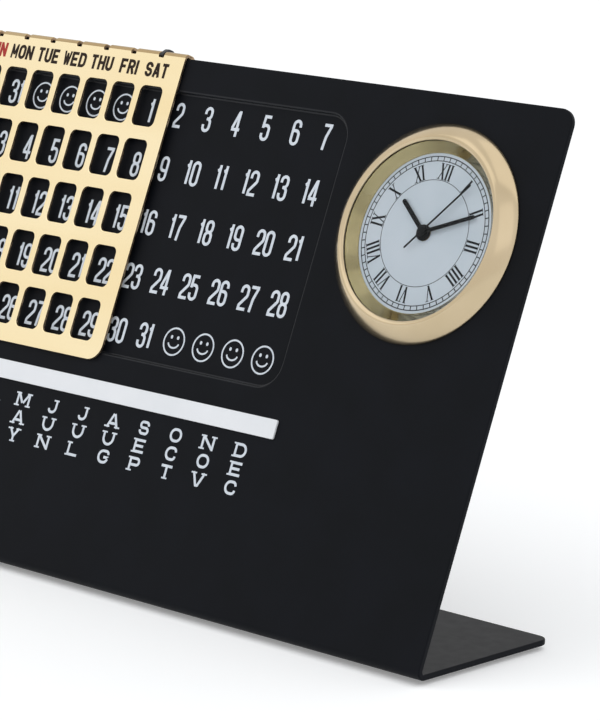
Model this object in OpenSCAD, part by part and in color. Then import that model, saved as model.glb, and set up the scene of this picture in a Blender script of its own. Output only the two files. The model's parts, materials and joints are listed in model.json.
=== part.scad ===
// Perpetual desk calendar with a sliding day-of-the-week frame, a month marker and an inset clock.
// Millimetres. +Z is up, the face looks towards -Y and +X is to the right of someone reading it.
// The origin is on the table, under the middle of the whole object.

/* [Stand] */
// Width of the stand from side to side
stand_w = 149; // [148:1:185]
// Length of the leaning face, measured up its slope
face_h = 94; // [92:1:115]
// Lean of the face back from upright, in degrees
lean = 21.7; // [14:0.1:26]
// Depth of the foot, from the front bend to its rear edge
foot_d = 33.2; // [28:0.1:42]
// Thickness of the steel sheet
sheet_t = 1; // [0.8:0.1:1.4]
// Inside radius of the bend between the face and the foot
bend_r = 0.5; // [0.4:0.1:1.5]
// Radius of the top corners of the face
corner_r = 2.7; // [1:0.1:8]
// Radius of the rear corners of the foot
foot_corner_r = 2.2; // [1:0.1:6]
// Radius of a foot pad
pad_r = 4; // [2.5:0.5:5]
// Thickness of a foot pad
pad_t = 0.8; // [0.5:0.1:2]
// Distance from a pad's centre to the nearest edges of the foot
pad_inset = 6.5; // [5.5:0.5:10]

/* [Calendar] */
// Distance from the stand's left edge to the middle of the calendar
calendar_in = 56.25; // [54:0.05:60]
// Distance between neighbouring day columns
column_step = 7; // [6.6:0.1:7.4]
// Distance between neighbouring week rows
row_step = 9.76; // [9.4:0.02:9.9]
// Distance from the top of the face down to the middle of the first week row
first_row_down = 9.5; // [9.3:0.1:11]
// Width of the stamped recess that carries the dates
recess_w = 94.1; // [90:0.1:98]
// Height of the recess
recess_h = 47.5; // [44:0.1:50]
// Distance from the top of the face down to the recess
recess_down = 6.1; // [6:0.1:8]
// Depth of the recess
recess_d = 0.65; // [0.3:0.05:0.9]
// Corner radius of the recess
recess_r = 4.5; // [2:0.5:8]
// Thickness of the pressed wall around the recess
recess_wall = 0.6; // [0.4:0.1:1]

/* [Day frame] */
// Width of the sliding day frame
frame_w = 53.8; // [52:0.1:56]
// Distance from the frame's last row of windows down to its lower edge
frame_below = 3.15; // [2:0.05:4]
// Thickness of the frame's sheet
frame_t = 0.65; // [0.5:0.05:1]
// Running gap between the frame and the face
frame_gap = 0.15; // [0.1:0.05:0.3]
// Gap between the frame's fold and the top edge of the face
fold_gap = 0.05; // [0.03:0.01:0.2]
// Outside radius of the fold over the top edge
fold_r = 0.8; // [0.7:0.05:1]
// Length of the lip behind the face
lip_h = 4.2; // [2:0.1:4.6]
// Width of a window
window_w = 5.55; // [4.4:0.05:6]
// Height of a window
window_h = 7.3; // [6.5:0.1:8.2]
// Corner radius of a window
window_r = 1.15; // [0.4:0.05:1.6]
// Radius of the frame's lower corners
frame_corner_r = 3; // [1:0.5:5]
// Width of an index notch in the fold
notch_w = 1.3; // [1.1:0.1:2]
// Depth of an index notch below the top edge of the face
notch_d = 0.5; // [0.3:0.1:0.8]
// Width of the spring finger that drops into a notch
finger_w = 1; // [0.8:0.1:1.6]
// Thickness of the spring finger
finger_t = 0.6; // [0.3:0.05:0.7]
// Width of the finger's root plate behind the face
finger_root_w = 5; // [4:0.5:8]
// Height of the finger's root plate
finger_root_h = 8.5; // [6:0.5:12]

/* [Months] */
// Distance from the front bend up to the middle of the month strip
strip_up = 33.9; // [30:0.1:35]
// Length of the month strip
strip_w = 99.9; // [94:0.1:102]
// Height of the month strip
strip_h = 3.3; // [2.6:0.1:4]
// Thickness of the month strip
strip_t = 0.4; // [0.2:0.1:0.8]
// Distance between neighbouring months
month_step = 7.64; // [7.2:0.02:8]
// How far the months sit to the right of the calendar's middle
month_shift = 1.45; // [0:0.05:2]
// Width of the month marker
marker_w = 5.6; // [4.8:0.1:7]
// Height of the marker's body
marker_h = 4.8; // [4.7:0.1:6]
// Thickness of the marker
marker_t = 2.3; // [2.1:0.1:3]
// Height of the marker's pointed nose
nose_h = 1; // [0.5:0.1:1.5]
// Gap between the marker and what it slides on
marker_gap = 0.1; // [0.08:0.01:0.2]
// Radius of the marker's magnet
magnet_r = 1.4; // [1:0.1:1.5]
// Thickness of the magnet
magnet_t = 1.2; // [0.8:0.1:1.3]

/* [Clock case] */
// Distance from the stand's right edge to the clock's centre
clock_in = 23.1; // [22:0.1:30]
// Distance from the top of the face down to the clock's centre
clock_down = 23.6; // [22:0.1:30]
// Outside radius of the bezel
bezel_r = 18.65; // [18:0.05:20]
// Height of the bezel's crest above the face
bezel_h = 2.75; // [2.7:0.05:3.4]
// Radius of the bezel's opening
lip_r = 15.2; // [14.8:0.1:15.3]
// Outside radius of the clock's case
case_r = 16.3; // [16.2:0.1:17]
// Gap between the case and the hole in the face
hole_gap = 0.3; // [0.1:0.05:0.5]
// Depth of the case behind the face
case_d = 9.5; // [9.2:0.1:12]
// Thickness of the case's wall
case_wall = 1.3; // [1.1:0.1:1.4]
// Thickness of the case's back
back_t = 1.4; // [1:0.1:2]
// How far the case's back tapers in towards its rear edge
back_taper = 0.6; // [0.2:0.1:1.5]
// Thickness of the crystal
crystal_t = 0.5; // [0.4:0.1:0.6]
// Height of the dial's face above the face of the stand
dial_z = 0.4; // [0.3:0.05:0.5]
// Thickness of the dial
dial_t = 0.3; // [0.2:0.05:0.4]
// Radius of the dial that shows inside the reflector ring
dial_show_r = 13.5; // [13.2:0.1:14]
// Outside radius of the retaining ring behind the face
keeper_r = 18.9; // [17.8:0.1:20]
// Thickness of the retaining ring
keeper_t = 2.15; // [1:0.05:3]

/* [Clock hands] */
// Direction of the hour hand, in degrees clockwise from the top
hour_at = 309.2; // [0:0.1:360]
// Direction of the minute hand
minute_at = 68.5; // [0:0.1:360]
// Direction of the second hand
second_at = 40.5; // [0:0.1:360]
// Length of the hour hand from the centre
hour_l = 7.7; // [5:0.1:9]
// Width of the hour hand
hour_w = 0.75; // [0.6:0.05:1.4]
// Length of the minute hand
minute_l = 10.6; // [8:0.1:12.5]
// Width of the minute hand
minute_w = 0.65; // [0.5:0.05:1.3]
// Length of the second hand
second_l = 11.6; // [8:0.1:13]
// Length of the second hand's tail
tail_l = 4; // [2:0.1:6]
// Width of the second hand
second_w = 0.3; // [0.2:0.05:0.5]

/* [Clock movement] */
// Distance between the clock's centre and the setting arbor
setting_a = 5.2; // [5:0.1:5.6]
// Distance between the clock's centre and the third wheel
third_a = 4.9; // [4.8:0.1:5.2]
// Tooth size of the step wheels
step_m = 0.14; // [0.13:0.01:0.15]
// Running gap round the arbors
bearing_gap = 0.06; // [0.03:0.01:0.09]
// Radius of the seconds arbor
seconds_r = 0.3; // [0.25:0.01:0.32]
// Radius of the setting arbor
stem_r = 0.5; // [0.4:0.05:0.6]
// Radius of the other arbors
arbor_r = 0.22; // [0.18:0.01:0.25]
// Radius of the setting crown
crown_r = 2.6; // [2:0.1:3.5]
// Length of the setting crown
crown_h = 2.4; // [1.5:0.1:2.6]
// Radius of the button cell
cell_r = 3.4; // [3:0.1:3.5]
// Thickness of the button cell
cell_t = 2.6; // [2:0.1:2.6]

/* [Hidden] */
$fn = 96;
eps = 0.01;       // overlap of a cut past the face that it opens
touch = 0.05;     // gap between clock pieces that rest on each other

// Bend: the face and the foot would meet in a sharp edge at the sheet's outside corner
face_turn = 90 - lean;                    // angle of the face above the foot
bend_out = bend_r + sheet_t;
bend_run = bend_out / tan(face_turn / 2);  // from the sharp edge to where the bend ends

// Day frame and its seats, in the face's own frame: X across, Y up the slope, Z out of the face
rows = 5;
columns = 7;
calendar_x = calendar_in - stand_w / 2;
frame_x = calendar_x - (columns - 1) / 2 * column_step;  // farthest left
last_row_y = face_h - first_row_down - (rows - 1) * row_step;
frame_low_y = last_row_y - window_h / 2 - frame_below;
frame_front = frame_gap + frame_t;
fold_in_y = face_h + fold_gap;
fold_top_y = fold_in_y + frame_t;
lip_z = -sheet_t - frame_gap;             // the lip's side that faces the stand
notch_y = face_h - notch_d;
recess_y = face_h - recess_down - recess_h / 2;
boss_z = -sheet_t - recess_d;             // back of the pressed recess

// Month strip and its marker
month_x = calendar_x + month_shift - 5.5 * month_step;  // the first of twelve months

// Clock levels, as heights above the face
clock_x = stand_w / 2 - clock_in;
clock_y = face_h - clock_down;
lip_z_top = bezel_h - 0.4;
crystal_top = lip_z_top - 0.15;
crystal_low = crystal_top - crystal_t;
neck_in_r = lip_r + 0.45;
neck_d = 2;
spigot_r = neck_in_r - touch;
case_in_r = case_r - case_wall;
inner_r = case_in_r - touch * 2;
plate_top = -1.7;
plate_t = 1.2;
plate_low = plate_top - plate_t;
bridge_top = -6.6;
bridge_t = 0.8;
bridge_low = bridge_top - bridge_t;
pivot_l = 0.4;                            // how far an arbor enters its bearing

// Hands and the pipes that carry them
cannon_in_r = 0.55;
cannon_r = 0.78;
pipe_in_r = cannon_r + bearing_gap;
pipe_r = 1.2;
hour_z = 0.62;
hour_t = 0.18;
minute_z = 0.98;
minute_t = 0.15;
second_z = 1.3;
second_t = 0.08;
hub_fit = 0.01;                           // gap between a hand's hub and its pipe

// Wheel train. The hands gear down 12 to 1 and the seconds wheel turns 60 times in an hour.
cannon_n = 12;
minute_n = 36;
minute_pinion_n = 10;
hour_n = 40;
center_n = 64;
third_pinion_n = 8;
third_n = 60;
seconds_pinion_n = 8;
seconds_n = 60;
step_pinion_n = 10;
step_n = 50;
rotor_n = 10;
minute_m = 2 * setting_a / (cannon_n + minute_n);
hour_m = 2 * setting_a / (minute_pinion_n + hour_n);
center_m = 2 * third_a / (center_n + third_pinion_n);
third_m = 2 * third_a / (third_n + seconds_pinion_n);
setting_turn = 90;
third_turn = 210;
step_turn = 330;
step_a = step_m * (seconds_n + step_pinion_n) / 2;
rotor_a = step_a + step_m * (step_n + rotor_n) / 2;
wheel_t = 0.3;
pinion_t = 0.7;
center_z = -3.6;
third_z = -4.6;
seconds_z = -5.5;
step_z = -6.2;
pillar_r = 1.1;
pillars = [[0, -7.2], [2.6, 8.4], [-11, -0.6]];
screw_r = 0.45;
screw_head_r = 0.9;
screw_head_t = 0.4;

// Stepping motor, cell and circuit
magnet_rotor_r = 1;
magnet_rotor_z = -5.2;
magnet_rotor_t = 1.2;
stator_z = -4.9;
stator_t = 0.6;
coil_a = 11.9;
coil_r = 1.3;
coil_l = 7;
core_l = 10;
cell_turn = 150;
cell_a = 9.8;
board_turn = 25;
board_a = 9.6;
board_size = [5, 7, 0.4];
board_z = bridge_top + 0.2;
can_r = 0.95;
can_l = 5.5;

// Placing the whole object: its box stands on the table, centred on the origin
back_reach = max((clock_y + case_r - back_taper) * sin(lean) + (case_d + back_t) * cos(lean),
                 (clock_y + case_r) * sin(lean) + case_d * cos(lean));
front_reach = bend_run - bend_out;
start_y = -(back_reach + front_reach) / 2;

// Places children on the face: X across the stand, Y up its slope, Z out of the sheet
module on_face(x = 0, y = 0, z = 0) {
    translate([0, start_y, pad_t])
        rotate([90 - lean, 0, 0])
            translate([x, y, z])
                children();
}

// Places children in the clock: its centre is on the face
module in_clock(turn = 0, out = 0, z = 0) {
    on_face(clock_x, clock_y, z)
        rotate(turn)
            translate([out, 0, 0])
                children();
}

// Stretches a flat shape drawn in depth and height along the width of the stand
module across(width) {
    rotate([90, 0, 90])
        linear_extrude(height = width, center = true)
            children();
}

// Rectangle with round corners, centred
module round_rect(w, h, r) {
    square([w - 2 * r, h], center = true);
    square([w, h - 2 * r], center = true);
    for (x = [-1, 1], y = [-1, 1])
        translate([x * (w / 2 - r), y * (h / 2 - r)])
            circle(r, $fn = 48);
}

// What a round corner takes off a square one, in the corner towards +X and +Y.
// The circle is a hair larger, so that it crosses the straight edges and doesn't just touch them.
module corner_waste(r) {
    difference() {
        square(r + 1);
        circle(r + eps, $fn = 64);
    }
}

// Round tube or ring from one radius to another
module ring(outer, inner, h) {
    difference() {
        cylinder(h = h, r = outer);
        translate([0, 0, -eps])
            cylinder(h = h + 2 * eps, r = inner);
    }
}

// Flat toothed wheel of n teeth and tooth size m, with the middle of one tooth at an angle
module toothed(n, m, at, h) {
    pitch = 360 / n;
    root = m * (n / 2 - 1);
    tip = m * (n / 2 + 0.7);
    flank = [[root, -0.27], [tip, -0.12], [tip, 0.12], [root, 0.27]];
    linear_extrude(height = h)
        polygon([
            for (i = [0 : n - 1], p = flank)
                let (a = at + (i + p[1]) * pitch)
                    [p[0] * cos(a), p[0] * sin(a)]
        ]);
}

// Clock hand along +Y: a bar with a round end, and a hub with a bore
module hand(length, width, tail, hub, bore, t) {
    difference() {
        union() {
            translate([-width / 2, -tail, 0])
                cube([width, length + tail - width / 2, t]);
            translate([0, length - width / 2, 0])
                cylinder(h = t, d = width, $fn = 32);
            cylinder(h = t, r = hub);
        }
        translate([0, 0, -eps])
            cylinder(h = t + 2 * eps, r = bore);
    }
}

// Points of an arc round a centre
function arc(center, r, from, to, steps = 16) = [
    for (i = [0 : steps])
        let (a = from + i * (to - from) / steps)
            center + r * [cos(a), sin(a)]
];

// Side view of the bent sheet, as [depth, height]: the face leans back over the foot
module sheet_profile() {
    along = [cos(face_turn), sin(face_turn)];
    behind = [sin(face_turn), -cos(face_turn)];
    center = [bend_run, bend_out];
    polygon(concat(
        [face_h * along + sheet_t * behind, face_h * along],
        arc(center, bend_out, 90 + face_turn, 270),
        [[foot_d, 0], [foot_d, sheet_t]],
        arc(center, bend_r, 270, 90 + face_turn)
    ));
}

module stand() {
    color([0.14, 0.14, 0.16])
    difference() {
        union() {
            translate([0, start_y, pad_t])
                across(stand_w) sheet_profile();
            on_face(calendar_x, recess_y, boss_z)
                linear_extrude(height = recess_d + eps)
                    round_rect(recess_w + 2 * recess_wall, recess_h + 2 * recess_wall,
                               recess_r + recess_wall);
        }
        on_face(calendar_x, recess_y, -recess_d)
            linear_extrude(height = recess_d + 1)
                round_rect(recess_w, recess_h, recess_r);
        on_face(clock_x, clock_y, -sheet_t - 1)
            cylinder(h = sheet_t + 2, r = case_r + hole_gap);
        for (side = [0, 1])
            mirror([side, 0, 0]) {
                on_face(stand_w / 2 - corner_r, face_h - corner_r, -sheet_t - 1)
                    linear_extrude(height = sheet_t + 2)
                        corner_waste(corner_r);
                translate([stand_w / 2 - foot_corner_r, start_y + foot_d - foot_corner_r, pad_t - 1])
                    linear_extrude(height = sheet_t + 2)
                        corner_waste(foot_corner_r);
            }
    }
}

module foot_pads() {
    color([0.08, 0.08, 0.08])
    for (x = [-1, 1], y = [bend_run + pad_inset, foot_d - pad_inset])
        translate([x * (stand_w / 2 - pad_inset), start_y + y, 0])
            cylinder(h = pad_t, r = pad_r);
}

// Side view of the finger as a strip of even thickness along a bent line of [height, out] points
function turned(v) = [-v[1], v[0]] / norm(v);
function side_point(line, i, d) =
    let (n = len(line) - 1,
         a = turned(line[max(i, 1)] - line[max(i, 1) - 1]),
         b = turned(line[min(i, n - 1) + 1] - line[min(i, n - 1)]),
         m = (a + b) / norm(a + b))
    line[i] + m * d / (m * a);
function strip(line, t) = concat(
    [for (i = [0 : len(line) - 1]) side_point(line, i, t / 2)],
    [for (i = [len(line) - 1 : -1 : 0]) side_point(line, i, -t / 2)]
);

module index_finger() {
    root_z = boss_z - finger_t / 2;
    clear_z = lip_z - frame_t - frame_gap - finger_t / 2;
    boss_top = recess_y + recess_h / 2 + recess_wall;
    root_y = boss_top - 1 - finger_root_h;
    over_y = fold_top_y + finger_t / 2;
    tip = [face_h - 0.15, frame_front - 0.05];
    line = [
        [root_y, root_z],
        [boss_top - 1, root_z],
        [boss_top + 0.4, clear_z],
        [over_y - 0.7, clear_z],
        [over_y - 0.2, clear_z + 0.25],
        [over_y, clear_z + 0.8],
        [over_y, tip[1] - (over_y - tip[0])],
        tip
    ];
    color([0.12, 0.12, 0.13])
    on_face(calendar_x) {
        across(finger_w)
            polygon(strip(line, finger_t));
        translate([0, root_y + finger_root_h / 2, boss_z - finger_t])
            linear_extrude(height = finger_t)
                round_rect(finger_root_w, finger_root_h, 1);
    }
}

// Side view of the fold over the top edge, as [height, out]: open below, with its lip behind
module fold_profile() {
    back = lip_z - frame_t;
    start = face_h - 2;
    difference() {
        union() {
            translate([start, back])
                square([fold_top_y - fold_r - start, frame_front - back]);
            translate([fold_top_y - fold_r - eps, back + fold_r])
                square([fold_r + eps, frame_front - back - 2 * fold_r]);
            for (z = [back + fold_r, frame_front - fold_r])
                translate([fold_top_y - fold_r, z])
                    circle(fold_r, $fn = 48);
            translate([face_h - lip_h, back])
                square([lip_h - 1, frame_t]);
        }
        translate([start - 1, lip_z])
            square([fold_in_y - start + 1, frame_gap - lip_z]);
    }
}

module date_frame() {
    front_h = face_h - 1 - frame_low_y;
    color([0.93, 0.8, 0.55])
    on_face(frame_x)
    difference() {
        union() {
            translate([-frame_w / 2, frame_low_y, frame_gap])
                cube([frame_w, front_h, frame_t]);
            across(frame_w) fold_profile();
        }
        for (row = [0 : rows - 1], column = [0 : columns - 1])
            translate([(column - (columns - 1) / 2) * column_step,
                       last_row_y + row * row_step, -eps])
                linear_extrude(height = frame_front + 1)
                    round_rect(window_w, window_h, window_r);
        for (column = [0 : columns - 1])
            translate([(column - (columns - 1) / 2) * column_step - notch_w / 2,
                       notch_y, lip_z - frame_t - 1])
                cube([notch_w, 4, frame_front - lip_z + frame_t + 2]);
        for (side = [0, 1])
            mirror([side, 0, 0])
                translate([frame_w / 2 - frame_corner_r, frame_low_y + frame_corner_r, -1])
                    mirror([0, 1, 0])
                        linear_extrude(height = frame_front + 2)
                            corner_waste(frame_corner_r);
    }
}

module month_strip() {
    color([0.92, 0.93, 0.94])
    on_face(calendar_x, strip_up)
        linear_extrude(height = strip_t)
            round_rect(strip_w, strip_h, 0.3);
}

module marker_shell() {
    half = marker_w / 2;
    low = -marker_h / 2;
    color([0.93, 0.8, 0.55])
    on_face(month_x, strip_up, marker_gap)
    difference() {
        linear_extrude(height = marker_t - marker_gap)
            polygon([
                [-half, low], [0, low - nose_h], [half, low],
                [half, -low - 0.5], [half - 0.5, -low], [0.5 - half, -low], [-half, -low - 0.5]
            ]);
        translate([-half - 1, -strip_h / 2 - marker_gap, -eps])
            cube([marker_w + 2, strip_h + 2 * marker_gap, strip_t + eps]);
        translate([0, 0, -eps])
            cylinder(h = strip_t + magnet_t + 2 * eps, r = magnet_r + hub_fit);
    }
}

module marker_magnet() {
    color([0.3, 0.3, 0.32])
    on_face(month_x, strip_up, strip_t + marker_gap)
        cylinder(h = magnet_t, r = magnet_r);
}

module clock_bezel() {
    crest_r = lip_r + 0.8;
    edge_h = 0.2;
    steps = 16;
    bulge = 1.6;                          // 1 gives a quarter ellipse, more gives a flatter dome
    color([0.87, 0.76, 0.56])
    in_clock()
        rotate_extrude($fn = 128)
            polygon([
                [bezel_r, 0],
                for (i = [0 : steps])
                    let (a = 90 * i / steps)
                        [crest_r + (bezel_r - crest_r) * pow(cos(a), bulge),
                         edge_h + (bezel_h - edge_h) * pow(sin(a), bulge)],
                for (i = [1 : steps / 2])
                    let (a = 180 * i / steps)
                        [crest_r - (crest_r - lip_r) * sin(a), lip_z_top + (bezel_h - lip_z_top) * cos(a)],
                [lip_r, crystal_top],
                [neck_in_r, crystal_top],
                [neck_in_r, -neck_d],
                [case_r, -neck_d],
                [case_r, 0]
            ]);
}

module crystal() {
    color([0.85, 0.93, 0.96, 0.35])
    in_clock(z = crystal_low)
        cylinder(h = crystal_t, r = spigot_r);
}

module reflector_ring() {
    color([0.9, 0.78, 0.5])
    in_clock()
        rotate_extrude($fn = 128)
            polygon([
                [spigot_r, dial_z],
                [spigot_r, crystal_low - touch],
                [lip_r - 0.2, crystal_low - touch],
                [dial_show_r, dial_z + touch],
                [dial_show_r, dial_z]
            ]);
}

module dial() {
    color([0.84, 0.87, 0.9])
    in_clock(z = dial_z - dial_t)
        ring(spigot_r - touch, pipe_r + 0.15, dial_t);
}

module clock_case() {
    color([0.8, 0.7, 0.5])
    in_clock()
        rotate_extrude($fn = 128)
            polygon([
                [case_in_r, dial_z - dial_t - touch],
                [spigot_r, dial_z - dial_t - touch],
                [spigot_r, -neck_d - touch],
                [case_r, -neck_d - touch],
                [case_r, -case_d],
                [case_in_r, -case_d]
            ]);
}

module case_back() {
    skirt_t = 0.7;
    color([0.12, 0.12, 0.12])
    difference() {
        union() {
            in_clock(z = -case_d - back_t)
                cylinder(h = back_t, r1 = case_r - back_taper, r2 = case_r);
            in_clock(z = -case_d - eps)
                ring(inner_r, inner_r - skirt_t, case_d + plate_low - touch + eps);
        }
        in_clock(setting_turn, setting_a, -case_d - back_t - 1)
            cylinder(h = back_t + 2, r = stem_r + bearing_gap);
    }
}

module retaining_ring() {
    chamfer = 0.4;
    hold_r = case_r + touch;
    color([0.1, 0.1, 0.1])
    in_clock(z = -sheet_t - touch - keeper_t)
        rotate_extrude()
            polygon([
                [hold_r, 0],
                [keeper_r - chamfer, 0],
                [keeper_r, chamfer],
                [keeper_r, keeper_t],
                [hold_r, keeper_t]
            ]);
}

module movement_ring() {
    color([0.9, 0.9, 0.88])
    in_clock(z = plate_top + touch)
        ring(inner_r, inner_r - 1.6, dial_z - dial_t - plate_top - 2 * touch);
}

// Bearings of the wheel train, cut from z up through a plate of thickness t
module bearings(z, t, center_r) {
    for (p = [[0, 0, center_r], [setting_turn, setting_a, stem_r],
              [third_turn, third_a, arbor_r], [step_turn, step_a, arbor_r],
              [step_turn, rotor_a, arbor_r]])
        in_clock(p[0], p[1], z - 1)
            cylinder(h = t + 2, r = p[2] + bearing_gap, $fn = 48);
}

module main_plate() {
    center_r = seconds_r + bearing_gap + 0.14;
    color([0.75, 0.65, 0.4])
    difference() {
        union() {
            in_clock(z = plate_low)
                cylinder(h = plate_t, r = inner_r);
            for (p = pillars)
                on_face(clock_x + p[0], clock_y + p[1], bridge_top)
                    cylinder(h = plate_low - bridge_top + eps, r = pillar_r, $fn = 48);
        }
        bearings(plate_low, plate_t, center_r);
        for (p = pillars)
            on_face(clock_x + p[0], clock_y + p[1], bridge_top - eps)
                cylinder(h = 2.5, r = screw_r + touch, $fn = 32);
    }
}

module train_bridge() {
    color([0.78, 0.78, 0.8])
    difference() {
        in_clock(z = bridge_low)
            cylinder(h = bridge_t, r = inner_r - 2.2);
        bearings(bridge_low, bridge_t, seconds_r);
        in_clock(cell_turn, cell_a, bridge_low - 1)
            cylinder(h = bridge_t + 2, r = cell_r + 0.3);
        for (p = pillars)
            on_face(clock_x + p[0], clock_y + p[1], bridge_low - 1)
                cylinder(h = bridge_t + 2, r = screw_r + touch, $fn = 32);
    }
}

module bridge_screws() {
    color([0.5, 0.52, 0.55])
    for (p = pillars)
        on_face(clock_x + p[0], clock_y + p[1], bridge_low - screw_head_t)
        difference() {
            union() {
                cylinder(h = screw_head_t, r = screw_head_r, $fn = 32);
                cylinder(h = screw_head_t + bridge_t + 2, r = screw_r, $fn = 32);
            }
            translate([-screw_head_r, -0.1, -eps])
                cube([2 * screw_head_r, 0.2, 0.2]);
        }
}

module hour_hand() {
    color([0.05, 0.05, 0.05])
    in_clock(-hour_at, 0, hour_z)
        hand(hour_l, hour_w, 0, pipe_r + 0.15, pipe_r + hub_fit, hour_t);
}

module minute_hand() {
    color([0.05, 0.05, 0.05])
    in_clock(-minute_at, 0, minute_z)
        hand(minute_l, minute_w, 0, cannon_r + 0.2, cannon_r + hub_fit, minute_t);
}

module second_hand() {
    color([0.05, 0.05, 0.05])
    in_clock(-second_at, 0, second_z)
        hand(second_l, second_w, tail_l, 0.6, seconds_r + hub_fit, second_t);
}

module hour_wheel() {
    wheel_z = -0.9;
    color([0.85, 0.72, 0.4])
    in_clock(z = wheel_z)
    difference() {
        union() {
            toothed(hour_n, hour_m, setting_turn, 0.45);
            cylinder(h = hour_z + hour_t - wheel_z, r = pipe_r);
        }
        translate([0, 0, -eps])
            cylinder(h = 3, r = pipe_in_r);
    }
}

module cannon_pinion() {
    pinion_z = -1.6;
    color([0.85, 0.72, 0.4])
    in_clock(z = pinion_z)
    difference() {
        union() {
            toothed(cannon_n, minute_m, setting_turn, 0.5);
            cylinder(h = minute_z + minute_t - pinion_z, r = cannon_r);
        }
        translate([0, 0, -eps])
            cylinder(h = 3, r = cannon_in_r);
    }
}

module minute_wheel() {
    wheel_z = -1.6;
    gap_at = setting_turn + 180;
    color([0.85, 0.72, 0.4])
    in_clock(z = wheel_z)
        rotate(setting_turn) translate([setting_a, 0, 0]) rotate(-setting_turn)
        difference() {
            union() {
                toothed(minute_n, minute_m, gap_at + 180 / minute_n, 0.5);
                toothed(minute_pinion_n, hour_m, gap_at + 180 / minute_pinion_n, 1.2);
            }
            translate([0, 0, -eps])
                cylinder(h = 2, r = stem_r + hub_fit);
        }
}

module setting_crown() {
    crown_top = -case_d - back_t - 0.2;
    color([0.15, 0.15, 0.15])
    in_clock(setting_turn, setting_a, crown_top - crown_h) {
        toothed(24, 2 * crown_r / 25.4, 0, crown_h);
        cylinder(h = crown_h - crown_top - 0.5, r = stem_r, $fn = 48);
    }
}

module center_wheel() {
    arbor_top = -0.4;
    color([0.85, 0.72, 0.4])
    in_clock(z = center_z)
    difference() {
        union() {
            toothed(center_n, center_m, third_turn, wheel_t);
            cylinder(h = arbor_top - center_z, r = seconds_r + bearing_gap + 0.14, $fn = 48);
        }
        translate([0, 0, -eps])
            cylinder(h = 4, r = seconds_r + bearing_gap, $fn = 48);
    }
}

// Wheel with its pinion and an arbor that reaches into both plates
module wheel_set(turn, out, wheel, pinion) {
    in_clock(turn, out) rotate(-turn) {
        for (g = [wheel, pinion])
            translate([0, 0, g[3]])
                toothed(g[0], g[1], g[2], g[4]);
        translate([0, 0, bridge_top - pivot_l])
            cylinder(h = plate_low - bridge_top + 2 * pivot_l, r = arbor_r, $fn = 48);
    }
}

module third_wheel() {
    gap_at = third_turn + 180;
    color([0.85, 0.72, 0.4])
    wheel_set(third_turn, third_a,
              [third_n, third_m, gap_at + 180 / third_n, third_z, wheel_t],
              [third_pinion_n, center_m, gap_at + 180 / third_pinion_n, center_z - 0.2, pinion_t]);
}

module seconds_wheel() {
    color([0.85, 0.72, 0.4])
    in_clock() {
        translate([0, 0, seconds_z])
            toothed(seconds_n, step_m, step_turn, wheel_t);
        translate([0, 0, third_z - 0.2])
            toothed(seconds_pinion_n, third_m, third_turn, pinion_t);
        translate([0, 0, bridge_top - pivot_l])
            cylinder(h = second_z + second_t - bridge_top + pivot_l, r = seconds_r, $fn = 48);
    }
}

module step_wheel() {
    gap_at = step_turn + 180;
    color([0.92, 0.92, 0.9])
    wheel_set(step_turn, step_a,
              [step_n, step_m, step_turn, step_z, wheel_t],
              [step_pinion_n, step_m, gap_at + 180 / step_pinion_n, step_z, pinion_t + 0.4]);
}

module rotor() {
    gap_at = step_turn + 180;
    color([0.35, 0.35, 0.38])
    wheel_set(step_turn, rotor_a,
              [rotor_n, step_m, gap_at + 180 / rotor_n, step_z - 0.1, pinion_t - 0.2],
              [64, 2 * magnet_rotor_r / 65.4, 0, magnet_rotor_z, magnet_rotor_t]);
}

module stator() {
    low_x = rotor_a - 1.7;
    high_x = coil_a - coil_r - 0.15;
    leg_w = 1.1;
    color([0.6, 0.62, 0.65])
    in_clock(step_turn, 0, stator_z)
    difference() {
        union() {
            translate([low_x, -core_l / 2, 0])
                cube([high_x - low_x, core_l, stator_t]);
            for (side = [0, 1])
                mirror([0, side, 0])
                    translate([low_x, core_l / 2 - leg_w, 0])
                        cube([coil_a + 0.7 - low_x, leg_w, stator_t]);
        }
        translate([rotor_a, 0, -eps])
            cylinder(h = stator_t + 2 * eps, r = magnet_rotor_r + 0.15, $fn = 64);
    }
}

module coil_core() {
    color([0.6, 0.62, 0.65])
    in_clock(step_turn, coil_a, stator_z - 0.55)
        translate([-0.4, -core_l / 2, 0])
            cube([0.8, core_l, 0.5]);
}

module coil() {
    color([0.72, 0.4, 0.2])
    in_clock(step_turn, coil_a, stator_z - 0.3)
    difference() {
        rotate([90, 0, 0])
            cylinder(h = coil_l, r = coil_r, center = true, $fn = 64);
        cube([0.9, coil_l + 1, 0.6], center = true);
    }
}

module button_cell() {
    color([0.8, 0.8, 0.8])
    in_clock(cell_turn, cell_a, plate_low - 0.1 - cell_t)
        cylinder(h = cell_t, r = cell_r);
}

module cell_contact() {
    color([0.8, 0.72, 0.5])
    in_clock(cell_turn, cell_a, plate_low - 0.2 - cell_t - 0.3)
        linear_extrude(height = 0.3)
            round_rect(2.4, 6, 0.8);
}

module circuit_board() {
    color([0.1, 0.35, 0.2])
    in_clock(board_turn, board_a, board_z)
        linear_extrude(height = board_size[2])
            round_rect(board_size[0], board_size[1], 0.4);
}

module quartz_can() {
    color([0.75, 0.76, 0.78])
    in_clock(board_turn, board_a, board_z + board_size[2] + touch + can_r)
        rotate([90, 0, 0])
            cylinder(h = can_l, r = can_r, center = true, $fn = 48);
}

stand();
foot_pads();
index_finger();
date_frame();
month_strip();
marker_shell();
marker_magnet();
clock_bezel();
crystal();
reflector_ring();
dial();
clock_case();
case_back();
retaining_ring();
movement_ring();
main_plate();
train_bridge();
bridge_screws();
hour_hand();
minute_hand();
second_hand();
hour_wheel();
cannon_pinion();
minute_wheel();
setting_crown();
center_wheel();
third_wheel();
seconds_wheel();
step_wheel();
rotor();
stator();
coil_core();
coil();
button_cell();
cell_contact();
circuit_board();
quartz_can();
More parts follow.
